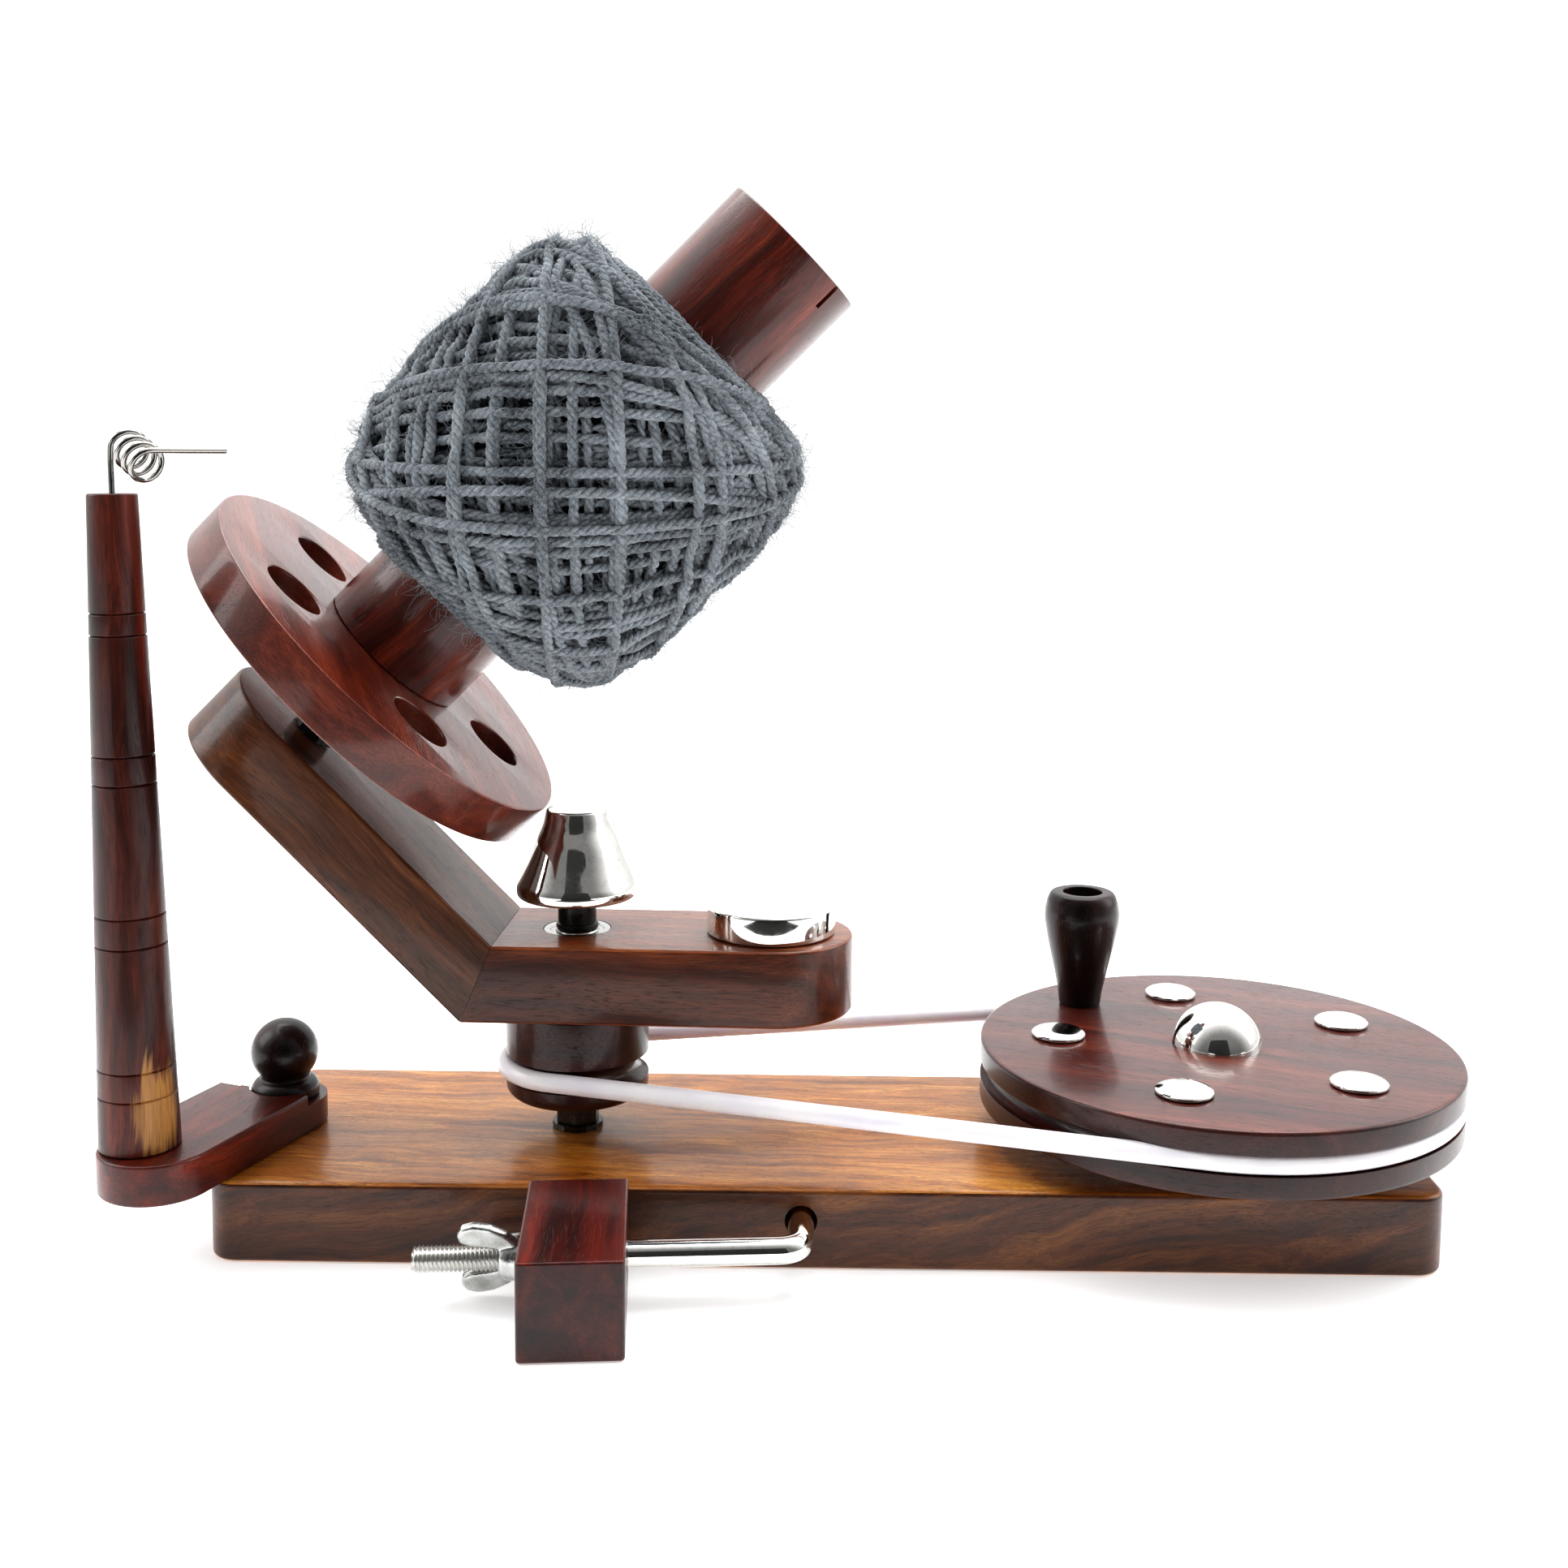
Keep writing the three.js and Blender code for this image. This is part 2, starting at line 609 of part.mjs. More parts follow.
function makeWheel() {
  const frame = frameAt(winder, WHEEL_X, 0, 0);
  piece('wheel_axle', hexBolt(HEAD_BOTTOM, AXLE_NUT_BOTTOM + NUT_HEIGHT + 1), steel, frame);
  piece('wheel_spacer', ring(7, BOLT_HOLE_R, BASE_HEIGHT + GAP, WHEEL_BOTTOM - GAP), steel, frame);
  piece('axle_nut', hexNut(AXLE_NUT_BOTTOM), steel, frame);

  const [handleX, handleY] = polar(HANDLE_CIRCLE, HANDLE_ANGLE);
  const studPlaces = STUD_ANGLES.map((angle) => polar(STUD_CIRCLE, THREE.MathUtils.degToRad(angle)));
  const blank = turned([
    [BOLT_R + 1, WHEEL_BOTTOM],
    [WHEEL_R - EDGE, WHEEL_BOTTOM],
    [WHEEL_R, WHEEL_BOTTOM + EDGE],
    [WHEEL_R, WHEEL_TOP - EDGE],
    [WHEEL_R - EDGE, WHEEL_TOP],
    [BOLT_R + 1, WHEEL_TOP],
    [BOLT_R + 1, WHEEL_BOTTOM],
  ], FINE);
  const cutters = [
    groove(WHEEL_BELT_R, WHEEL_BELT_Z),
    bearingSeat(WHEEL_BEARING_BOTTOM - GAP),
    bearingSeat(TOP_WHEEL_BEARING - GAP),
    hole(DOME_R + GAP, WHEEL_TOP - CAP_RECESS - GAP, WHEEL_TOP + 1),
    hole(HANDLE_BOLT_R + GAP, WHEEL_BOTTOM - 1, WHEEL_TOP + 1).translate(handleX, handleY, 0),
    hole(7, WHEEL_BOTTOM - 1, WHEEL_BOTTOM + HANDLE_NUT_HEIGHT + 2).translate(handleX, handleY, 0),
    ...studPlaces.map(([x, y]) =>
      hole(STEM_R + GAP, WHEEL_TOP - STEM_LENGTH - GAP, WHEEL_TOP + 1, 12).translate(x, y, 0),
    ),
  ];
  piece('drive_wheel', cut(blank, ...cutters), rosewood, frame);
  piece('wheel_bearing_lower', bearing(WHEEL_BEARING_BOTTOM), steel, frame);
  piece('wheel_bearing_upper', bearing(TOP_WHEEL_BEARING), steel, frame);

  piece('dome_cap', domeShell(WHEEL_TOP - CAP_RECESS), chrome, frame);
  studPlaces.forEach(([x, y], i) => {
    piece(`stud_cap_${i + 1}`, studCap(), chrome, frameAt(frame, x, y, WHEEL_TOP + GAP));
  });

  const handle = frameAt(frame, handleX, handleY, 0);
  const boltTop = WHEEL_TOP + HANDLE_HEIGHT - HANDLE_RECESS + 4;
  const boltHead = cylinder(5, boltTop - 4 + GAP, boltTop, 6);
  const boltShank = cylinder(HANDLE_BOLT_R, WHEEL_BOTTOM + 1, boltTop - 2);
  piece('handle_bolt', join(boltHead, boltShank), steel, handle);
  const nut = hexNut(WHEEL_BOTTOM + 1, HANDLE_NUT_HEIGHT, 5.8, HANDLE_BOLT_R + GAP);
  piece('handle_nut', nut, steel, handle);
  piece('crank_handle', crankHandle(WHEEL_TOP + GAP), darkWood, handle);
}

// A thin chrome shell, open underneath.
function domeShell(bottom) {
  const steps = 6;
  const height = WHEEL_TOP - bottom + DOME_HEIGHT;
  const arc = (radius, rise, reverse) => {
    const points = [];
    for (let i = 0; i <= steps; i += 1) {
      const angle = ((reverse ? steps - i : i) / steps) * (Math.PI / 2);
      points.push([radius * Math.cos(angle), bottom + rise * Math.sin(angle)]);
    }
    return points;
  };
  const outside = arc(DOME_R, height, false);
  const inside = arc(DOME_R - DOME_WALL, height - DOME_WALL, true);
  outside[steps][0] = 0;
  inside[0][0] = 0;
  return turned([...outside, ...inside, outside[0]], FINE / 2);
}

function studCap() {
  const outline = [[0, -STEM_LENGTH], [STEM_R, -STEM_LENGTH], [STEM_R, 0], [STUD_R, 0]];
  const steps = 4;
  for (let i = 1; i < steps; i += 1) {
    const angle = (i / steps) * (Math.PI / 2);
    outline.push([STUD_R * Math.cos(angle), 0.6 + (STUD_HEIGHT - 0.6) * Math.sin(angle)]);
  }
  return turned([...outline, [0, STUD_HEIGHT]]);
}

function crankHandle(bottom) {
  const top = WHEEL_TOP + HANDLE_HEIGHT;
  return turned([
    [HANDLE_BOLT_R + GAP, bottom],
    [7.2, bottom],
    [7.6, bottom + 4],
    [9.2, bottom + 12],
    [11.6, bottom + 22],
    [13, bottom + 30],
    [13.1, top - 7],
    [12.2, top - 2.5],
    [10.8, top],
    [HANDLE_RECESS_R, top],
    [HANDLE_RECESS_R, top - HANDLE_RECESS],
    [HANDLE_BOLT_R + GAP, top - HANDLE_RECESS],
    [HANDLE_BOLT_R + GAP, bottom],
  ]);
}

// ---- Drive belt --------------------------------------------------------------------------------

// The belt's centre line: round the pulley, along one straight run, round the wheel and back. It is
// welded into a loop, and the weld is the one place where the bar starts and ends.
function beltLine() {
  const distance = WHEEL_X - SPINDLE_X;
  const slant = Math.asin((WHEEL_BELT_R - PULLEY_R) / distance);
  const rounds = [
    { x: SPINDLE_X, radius: PULLEY_R, z: PULLEY_BELT_Z, from: Math.PI / 2 + slant, steps: 12 },
    { x: WHEEL_X, radius: WHEEL_BELT_R, z: WHEEL_BELT_Z, from: -Math.PI / 2 - slant, steps: 24 },
  ];
  rounds[0].sweep = Math.PI - 2 * slant;
  rounds[1].sweep = Math.PI + 2 * slant;
  const points = [];
  for (const { x, radius, z, from, sweep, steps } of rounds) {
    for (let i = 0; i <= steps; i += 1) {
      const [dx, dy] = polar(radius, from + (sweep * i) / steps);
      points.push(new THREE.Vector3(x + dx, dy, z));
    }
  }
  const start = points[0].clone();
  points.push(start.add(points[points.length - 1].clone().sub(start).setLength(1.5 * GAP)));
  const path = new THREE.CurvePath();
  points.slice(1).forEach((point, i) => path.add(new THREE.LineCurve3(points[i], point)));
  return path;
}

function makeBelt() {
  piece('drive_belt', bar(beltLine(), BELT_R, 110, 6), beltPlastic, winder);
}

// ---- Yarn guide: foot, knob, post and wire -----------------------------------------------------

const FOOT_BOTTOM = BASE_HEIGHT + GAP;
const FOOT_TOP = FOOT_BOTTOM + FOOT_THICKNESS;
const TONGUE_TOP = FOOT_BOTTOM + FOOT_STEP;
const SCREW_RECESS = 4;

function footOutline() {
  const shape = new THREE.Shape();
  shape.moveTo(FOOT_SHOULDER, FOOT_MIDDLE_Y - FOOT_HALF_WIDTH);
  shape.lineTo(FOOT_LENGTH, FOOT_MIDDLE_Y - FOOT_HALF_WIDTH);
  shape.absarc(FOOT_LENGTH, FOOT_MIDDLE_Y, FOOT_HALF_WIDTH, -Math.PI / 2, Math.PI / 2);
  shape.absarc(0, 0, TONGUE_R, Math.PI / 2, 1.5 * Math.PI);
  shape.lineTo(FOOT_SHOULDER, -TONGUE_R);
  return shape;
}

function makeGuide() {
  const foot = frameAt(winder, KNOB_X, KNOB_Y, 0);
  foot.rotation.z = FOOT_TURN;
  const stepCutter = box(FAR, FAR, FAR, FOOT_SHOULDER - FAR / 2, 0, TONGUE_TOP + FAR / 2);
  const footHoles = [
    stepCutter,
    hole(KNOB_COLLAR_R + 2 * GAP, TONGUE_TOP, FOOT_TOP + 1),
    hole(STUD_ROD_R + 2 * GAP, FOOT_BOTTOM - 1, FOOT_TOP + 1),
    hole(POST_SCREW_R + GAP, FOOT_BOTTOM - 1, FOOT_TOP + 1).translate(POST_ALONG, POST_ACROSS, 0),
    hole(6, FOOT_BOTTOM - 1, FOOT_BOTTOM + SCREW_RECESS).translate(POST_ALONG, POST_ACROSS, 0),
  ];
  const footBlank = board(footOutline(), FOOT_BOTTOM, FOOT_THICKNESS, EDGE / 2);
  piece('guide_foot', cut(footBlank, ...footHoles), rosewood, foot);

  const knob = frameAt(winder, KNOB_X, KNOB_Y, 0);
  piece('guide_knob', knobShape(TONGUE_TOP + GAP), darkWood, knob);
  piece('knob_stud', cylinder(STUD_ROD_R, STUD_ROD_BOTTOM, KNOB_BALL_Z), steel, knob);

  const [postX, postY] = new THREE.Vector2(POST_ALONG, POST_ACROSS)
    .rotateAround(new THREE.Vector2(), FOOT_TURN)
    .toArray();
  const post = frameAt(winder, KNOB_X + postX, KNOB_Y + postY, FOOT_TOP);
  post.rotation.y = POST_LEAN;
  makePost(frameAt(post, 0, 0, -FOOT_TOP));
}

function knobShape(bottom) {
  const outline = [
    [0, bottom],
    [KNOB_COLLAR_R, bottom],
    [KNOB_COLLAR_R, bottom + 3.4],
    [9.6, bottom + 5.4],
    [KNOB_NECK_R, bottom + 6.2],
  ];
  const steps = 10;
  const neck = -Math.acos(KNOB_NECK_R / KNOB_BALL_R);
  for (let i = 0; i < steps; i += 1) {
    const [radius, height] = polar(KNOB_BALL_R, neck + ((Math.PI / 2 - neck) * i) / steps);
    outline.push([radius, KNOB_BALL_Z + height]);
  }
  outline.push([0, KNOB_BALL_Z + KNOB_BALL_R]);
  return cut(turned(outline), hole(STUD_ROD_R + GAP, bottom - 1, KNOB_BALL_Z + GAP));
}

function makePost(frame) {
  const bottom = FOOT_TOP + GAP;
  const radiusAt = (z) => {
    const share = (z - bottom) / (POST_TOP - bottom);
    return POST_BOTTOM_R + share * (POST_TOP_R - POST_BOTTOM_R);
  };
  const ringDepth = 0.5;
  const outline = [[0, bottom], [POST_BOTTOM_R, bottom]];
  for (const z of POST_RINGS) {
    outline.push([radiusAt(z), z - ringDepth], [radiusAt(z) - ringDepth, z], [radiusAt(z), z + ringDepth]);
  }
  outline.push([POST_TOP_R, POST_TOP], [POST_RECESS_R, POST_TOP], [WIRE_HOLE_R, POST_TOP - 2.5]);
  outline.push([WIRE_HOLE_R, POST_TOP - WIRE_HOLE_DEPTH], [0, POST_TOP - WIRE_HOLE_DEPTH]);
  const screwTip = 64;
  const post = cut(turned(outline), hole(POST_SCREW_R + GAP, bottom - 1, screwTip + GAP));
  piece('guide_post', post, rosewood, frame);
  const headBottom = FOOT_BOTTOM + 0.8;
  const head = cylinder(5, headBottom, headBottom + 2.5);
  piece('post_screw', join(head, cylinder(POST_SCREW_R, headBottom, screwTip)), steel, frame);
  piece('wire_guide', bar(wireLine(), WIRE_R, 70, 6), chrome, frame);
}

// The wire stands in the post, makes an open coil that the yarn runs through, and ends in a straight
// tail. The coil starts on its left side, climbs over the top and grows towards the front right.
function wireLine() {
  const forward = new THREE.Vector3(1, 0, 0).applyAxisAngle(new THREE.Vector3(0, 1, 0), COIL_DROP);
  forward.applyAxisAngle(new THREE.Vector3(0, 0, 1), COIL_TURN);
  const across = new THREE.Vector3(-forward.y, forward.x, 0).normalize();
  const up = forward.clone().cross(across);
  const centre = new THREE.Vector3(0, 0, COIL_Z).addScaledVector(across, COIL_R);
  const foot = POST_TOP - WIRE_HOLE_DEPTH + 2;
  const points = [new THREE.Vector3(0, 0, foot), new THREE.Vector3(0, 0, POST_TOP)];
  points.push(new THREE.Vector3(0, 0, (POST_TOP + COIL_Z) / 2));
  const stepsPerTurn = 14;
  const steps = Math.round(COIL_TURNS * stepsPerTurn);
  for (let i = 0; i <= steps; i += 1) {
    const angle = Math.PI - (2 * Math.PI * i) / stepsPerTurn;
    const point = centre.clone().addScaledVector(forward, (COIL_PITCH * i) / stepsPerTurn);
    point.addScaledVector(across, COIL_R * Math.cos(angle)).addScaledVector(up, COIL_R * Math.sin(angle));
    points.push(point);
  }
  const last = points[points.length - 1];
  for (let i = 1; i <= 3; i += 1) {
    points.push(last.clone().addScaledVector(across, (WIRE_TAIL * i) / 3));
  }
  return new THREE.CatmullRomCurve3(points, false, 'centripetal');
}

// ---- Table clamp: bent rod, block and wing nut -------------------------------------------------

function makeClamp() {
  const corner = frameAt(winder, ROD_X, -ROD_OFFSET, ROD_Z);
  piece('clamp_rod', clampRod(), chrome, corner);
  const leg = frameAt(corner, 0, 0, 0);
  leg.rotation.z = ROD_YAW;

  const [length, depth, height] = BLOCK_SIZE;
  const blockMiddleZ = GAP + height / 2 - ROD_Z;
  const outline = roundedRectangle(length, depth, 1.2);
  const blank = board(outline, blockMiddleZ - height / 2, height, EDGE / 2);
  blank.translate(-BLOCK_ALONG, BLOCK_OFFSET, 0);
  const bore = hole(ROD_R + 2 * GAP, -FAR / 2, FAR / 2).rotateY(Math.PI / 2);
  piece('clamp_block', cut(blank, bore), rosewood, leg);

  const nut = frameAt(leg, -BLOCK_ALONG - length / 2 - GAP, 0, 0);
  nut.rotation.x = WING_NUT_TILT;
  piece('wing_nut', wingNut(), chrome, nut);
}

// One leg runs into the hole along +Y, the other along -X, turned a little towards the front.
function clampRod() {
  const legDirection = new THREE.Vector3(-Math.cos(ROD_YAW), -Math.sin(ROD_YAW), 0);
  const inner = new THREE.Vector3(0, ROD_OFFSET - BASE_WIDTH / 2 + ROD_DEPTH, 0);
  const bendStart = new THREE.Vector3(0, ROD_BEND, 0);
  const bendEnd = legDirection.clone().multiplyScalar(ROD_BEND);
  const outer = legDirection.clone().multiplyScalar(ROD_LENGTH);
  const path = new THREE.CurvePath();
  path.add(new THREE.LineCurve3(inner, bendStart));
  path.add(new THREE.QuadraticBezierCurve3(bendStart, new THREE.Vector3(), bendEnd));
  path.add(new THREE.LineCurve3(bendEnd, outer));
  return bar(path, ROD_R, 36, 8);
}

// The nut's axis lies along -X from its seat on the block, with its wings spread and swept back.
function wingNut() {
  const hub = turned([[0, 0], [6.9, 0], [6.4, 5], [5.6, 6.6], [0, 6.6]]);
  const wing = new THREE.Shape();
  wing.moveTo(0.8, 3);
  wing.lineTo(2.2, 7.5);
  wing.lineTo(10.5, 13.6);
  wing.quadraticCurveTo(15, 16, 18, 13.6);
  wing.quadraticCurveTo(19.6, 11, 17, 8.8);
  wing.lineTo(6.2, 3);
  const plate = new THREE.ExtrudeGeometry(wing, { depth: 3, bevelEnabled: false, curveSegments: 3 });
  plate.translate(0, 0, -1.5);
  const upper = plate.clone().rotateX(Math.PI / 2).rotateY(-Math.PI / 2);
  const lower = upper.clone().rotateZ(Math.PI);
  const blank = join(hub, upper, lower);
  return cut(blank, hole(ROD_R + GAP, -1, 20)).rotateY(-Math.PI / 2);
}

makeBase();
makeSpindle();
makeArm();
makeWheel();
makeBelt();
makeGuide();
makeClamp();

export default winder;
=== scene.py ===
"""The looks of the hand-cranked ball winder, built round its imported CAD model.

Lengths are written in millimetres and turned into metres when a mesh is made. Every piece is
built in its own straight frame and then placed, so its grain follows the wood it is cut from.
"""

from math import acos, asin, cos, pi, radians, sin, sqrt, tan

import bmesh
import bpy
import numpy as np
from mathutils import Matrix, Vector
from mathutils.geometry import tessellate_polygon


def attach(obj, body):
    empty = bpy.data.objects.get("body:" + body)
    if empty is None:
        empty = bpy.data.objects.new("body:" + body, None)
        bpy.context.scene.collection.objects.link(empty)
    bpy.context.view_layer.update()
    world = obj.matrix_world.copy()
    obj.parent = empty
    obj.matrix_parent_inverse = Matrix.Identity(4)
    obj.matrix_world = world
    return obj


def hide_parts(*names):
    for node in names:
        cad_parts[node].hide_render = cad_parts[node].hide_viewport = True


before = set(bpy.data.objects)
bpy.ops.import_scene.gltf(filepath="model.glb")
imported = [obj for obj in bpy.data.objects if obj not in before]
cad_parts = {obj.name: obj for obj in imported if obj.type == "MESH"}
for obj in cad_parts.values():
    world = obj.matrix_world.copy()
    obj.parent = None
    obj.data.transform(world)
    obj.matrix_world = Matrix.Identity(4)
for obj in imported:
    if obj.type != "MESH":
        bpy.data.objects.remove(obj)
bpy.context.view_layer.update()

SCENE = bpy.context.scene
MM = 0.001
GAP = 0.3
SEED = 7

# ---- Sizes, the same as the CAD model's ----

BASE_LENGTH, BASE_WIDTH, BASE_HEIGHT, BASE_CORNER = 381, 101.6, 25.6, 9
SPINDLE_X, WHEEL_X = -82, 130
ARM_YAW = radians(-1.7)
ARM_THICKNESS, ARM_HALF = 25, 25.4
BAR_TOP, BAR_REACH = 92.85, 90.8
BAR_BOTTOM = BAR_TOP - ARM_THICKNESS
INCLINE_TOP, INCLINE_REACH = 49, 203
INCLINE_BOTTOM = INCLINE_TOP - ARM_THICKNESS
LEAN = pi / 4
MITRE_X = INCLINE_TOP * sqrt(2) - BAR_TOP
BOBBIN_U = 172.3
PULLEY_R, PULLEY_BOTTOM, PULLEY_BELT_Z = 23.5, 37.5, 48
WEIGHT_X, WEIGHT_R, WEIGHT_HEIGHT = 64, 21.1, 9.3
CONE_BOTTOM, CONE_TOP, CONE_TOP_R = 103.6, 133, 9.9
SLEEVE_R, SLEEVE_TOP, BOLT_HOLE_R = 6.3, 106.5, 4.35
DISC_R, DISC_BOTTOM, DISC_TOP = 71, 73, 88
DISC_HOLE_R, DISC_HOLE_CIRCLE = 10.3, 44.5
DISC_HOLE_ANGLES = (-25, 46, 124, 190, 262)
TUBE_R, TUBE_END, TUBE_SLIT_ANGLE = 25.4, 271, radians(-40)
CAP_R, CAP_BOTTOM = 16.2, 267
CAKE_BOTTOM, CAKE_TOP, CAKE_R = 111.5, 232, 60
WHEEL_R, WHEEL_BOTTOM, WHEEL_TOP = 77.8, 35.3, 56.1
WHEEL_BELT_Z, WHEEL_BELT_R = 45.6, 75.2
BELT_R, GROOVE_R = 3.1, 3.9
DOME_R, DOME_HEIGHT = 15, 13.4
STUD_CIRCLE, STUD_ANGLES, STUD_R, STUD_HEIGHT = 52, (24, 95, 174, 246, 312), 9, 3
HANDLE_CIRCLE, HANDLE_ANGLE, HANDLE_HEIGHT = 57, radians(133), 40.5
KNOB_X, KNOB_Y = -179.5, -1
FOOT_TURN = radians(-110.4)
FOOT_BOTTOM = BASE_HEIGHT + GAP
FOOT_TOP, TONGUE_TOP = FOOT_BOTTOM + 12.7, FOOT_BOTTOM + 9.1
FOOT_HALF_WIDTH, FOOT_MIDDLE_Y, FOOT_LENGTH, FOOT_SHOULDER = 17.6, -3.8, 57.3, 6.3
TONGUE_R, KNOB_COLLAR_R, KNOB_NECK_R = 13.5, 11, 7.8
KNOB_BALL_R, KNOB_BALL_Z = 10.85, 50.1
POST_ALONG, POST_ACROSS = 59.6, -8.3
POST_BOTTOM_R, POST_TOP_R, POST_RECESS_R, POST_TOP = 12, 7.1, 4, 235.3
POST_LEAN = radians(-0.6)
POST_RINGS = (55.5, 64, 101.5, 110.5, 150, 158.5, 194, 200.5)
WIRE_R, COIL_R, COIL_PITCH, COIL_TURNS, COIL_Z = 0.85, 5.1, 4.9, 3.25, 248.9
COIL_TURN, COIL_DROP, WIRE_TAIL, WIRE_FOOT = -pi / 4, radians(22), 22.3, 12
ROD_X, ROD_Z, ROD_R, ROD_HOLE_R, ROD_DEPTH = -7.4, 15.5, 4, 5, 33
ROD_OFFSET, ROD_BEND, ROD_LENGTH, ROD_YAW = 70.2, 7, 113, radians(4.6)
THREAD_LENGTH = 40
BLOCK_SIZE, BLOCK_ALONG, BLOCK_OFFSET = (30, 56, 28.9), 66, -5.4
WING_NUT_TILT = radians(28)

# ---- Frames ----


def at(x, y, z):
    return Matrix.Translation(Vector((x, y, z)) * MM)


def turned_by(angle, axis):
    return Matrix.Rotation(angle, 4, axis)


def polar(radius, angle):
    return radius * cos(angle), radius * sin(angle)


WORLD = Matrix.Identity(4)
SPINDLE = at(SPINDLE_X, 0, 0)
ARM = SPINDLE @ turned_by(ARM_YAW, "Z")
INCLINE = ARM @ turned_by(LEAN, "Y")
BOBBIN = INCLINE @ at(-BOBBIN_U, 0, 0)
WHEEL = at(WHEEL_X, 0, 0)
HANDLE = WHEEL @ at(*polar(HANDLE_CIRCLE, HANDLE_ANGLE), 0)
KNOB = at(KNOB_X, KNOB_Y, 0)
FOOT = KNOB @ turned_by(FOOT_TURN, "Z")
POST_PLACE = FOOT @ Vector((POST_ALONG * MM, POST_ACROSS * MM, FOOT_TOP * MM))
POST = Matrix.Translation(POST_PLACE) @ turned_by(POST_LEAN, "Y") @ at(0, 0, -FOOT_TOP)
CLAMP = at(ROD_X, -ROD_OFFSET, ROD_Z)
LEG = CLAMP @ turned_by(ROD_YAW, "Z")
NUT = LEG @ at(-BLOCK_ALONG - BLOCK_SIZE[0] / 2 - GAP, 0, 0) @ turned_by(WING_NUT_TILT, "X")

# ---- Camera ----


def make_camera():
    data = bpy.data.cameras.new("camera")
    data.sensor_width = 36
    data.lens = 39.971
    data.shift_y = -0.0823
    data.clip_start, data.clip_end = 0.05, 20
    camera = placed("camera", data)
    yaw, pitch, roll = -0.0085, 0.110, -0.009
    ahead = Vector((sin(yaw), cos(yaw), 0))
    right = Vector((cos(yaw), -sin(yaw), 0))
    forward = ahead * cos(pitch) - Vector((0, 0, sin(pitch)))
    down = forward.cross(right)
    right_rolled = right * cos(roll) + down * sin(roll)
    down_rolled = down * cos(roll) - right * sin(roll)
    axes = Matrix((right_rolled, -down_rolled, -forward)).transposed()
    camera.matrix_world = at(-9.833, -560.694, 245.937) @ axes.to_4x4()
    SCENE.camera = camera


# ---- Materials ----


def rgb(code):
    """A linear colour from a hexadecimal sRGB one."""
    parts = [int(code[i : i + 2], 16) / 255 for i in (0, 2, 4)]
    return [p / 12.92 if p <= 0.04045 else ((p + 0.055) / 1.055) ** 2.4 for p in parts] + [1]


class Nodes:
    """A material's node tree, with short calls for the nodes used here."""

    def __init__(self, name):
        self.material = bpy.data.materials.new(name)
        self.material.use_nodes = True
        self.tree = self.material.node_tree
        self.shader = self.tree.nodes["Principled BSDF"]

    def add(self, kind, inputs=None, **settings):
        node = self.tree.nodes.new(kind)
        for key, value in settings.items():
            setattr(node, key, value)
        for key, value in (inputs or {}).items():
            self.feed(node.inputs[key], value)
        return node

    def feed(self, socket, value):
        if isinstance(value, bpy.types.NodeSocket):
            self.tree.links.new(value, socket)
        else:
            socket.default_value = value

    def place(self, scale=(1, 1, 1), turn=(0, 0, 0), shift=(0, 0, 0)):
        coordinates = self.add("ShaderNodeTexCoord").outputs["Object"]
        mapping = self.add("ShaderNodeMapping", {"Vector": coordinates})
        mapping.inputs["Location"].default_value = shift
        mapping.inputs["Rotation"].default_value = turn
        mapping.inputs["Scale"].default_value = scale
        return mapping.outputs["Vector"]

    def noise(self, vector, scale, detail=3, rough=0.5, warp=0):
        inputs = {"Vector": vector, "Scale": scale, "Detail": detail}
        inputs |= {"Roughness": rough, "Distortion": warp}
        return self.add("ShaderNodeTexNoise", inputs).outputs["Fac"]

    def ramp(self, value, stops):
        node = self.add("ShaderNodeValToRGB", {"Fac": value})
        marks = node.color_ramp.elements
        for i, (place, colour) in enumerate(stops):
            mark = marks[i] if i < 2 else marks.new(place)
            mark.position = place
            mark.color = colour if len(colour) == 4 else [*colour, 1]
        return node.outputs["Color"]

    def grey(self, value, low, high, bottom=0.0, top=1.0):
        inputs = {"Value": value, "From Min": low, "From Max": high, "To Min": bottom, "To Max": top}
        return self.add("ShaderNodeMapRange", inputs, clamp=True).outputs["Result"]

    def mix(self, amount, a, b, kind="MIX"):
        node = self.add("ShaderNodeMix", data_type="RGBA", blend_type=kind)
        self.feed(node.inputs["Factor"], amount)
        self.feed(node.inputs[6], a)
        self.feed(node.inputs[7], b)
        return node.outputs[2]

    def math(self, kind, a, b=0.0):
        node = self.add("ShaderNodeMath", operation=kind)
        self.feed(node.inputs[0], a)
        self.feed(node.inputs[1], b)
        return node.outputs["Value"]

    def vector(self, kind, *values, out="Vector"):
        node = self.add("ShaderNodeVectorMath", operation=kind)
        for socket, value in zip(node.inputs, values):
            self.feed(socket, value)
        return node.outputs[out]

    def bump(self, height, distance, strength, under=None):
        node = self.add("ShaderNodeBump", {"Height": height})
        node.inputs["Distance"].default_value = distance * MM
        node.inputs["Strength"].default_value = strength
        if under is not None:
            self.feed(node.inputs["Normal"], under)
        return node.outputs["Normal"]

    def finish(self, **sockets):
        """Feeds the shader's sockets. Plain numbers and colours are set on the socket itself."""
        for key, value in sockets.items():
            self.feed(self.shader.inputs[key.replace("_", " ")], value)
        return self.material


WAVE = 0.012


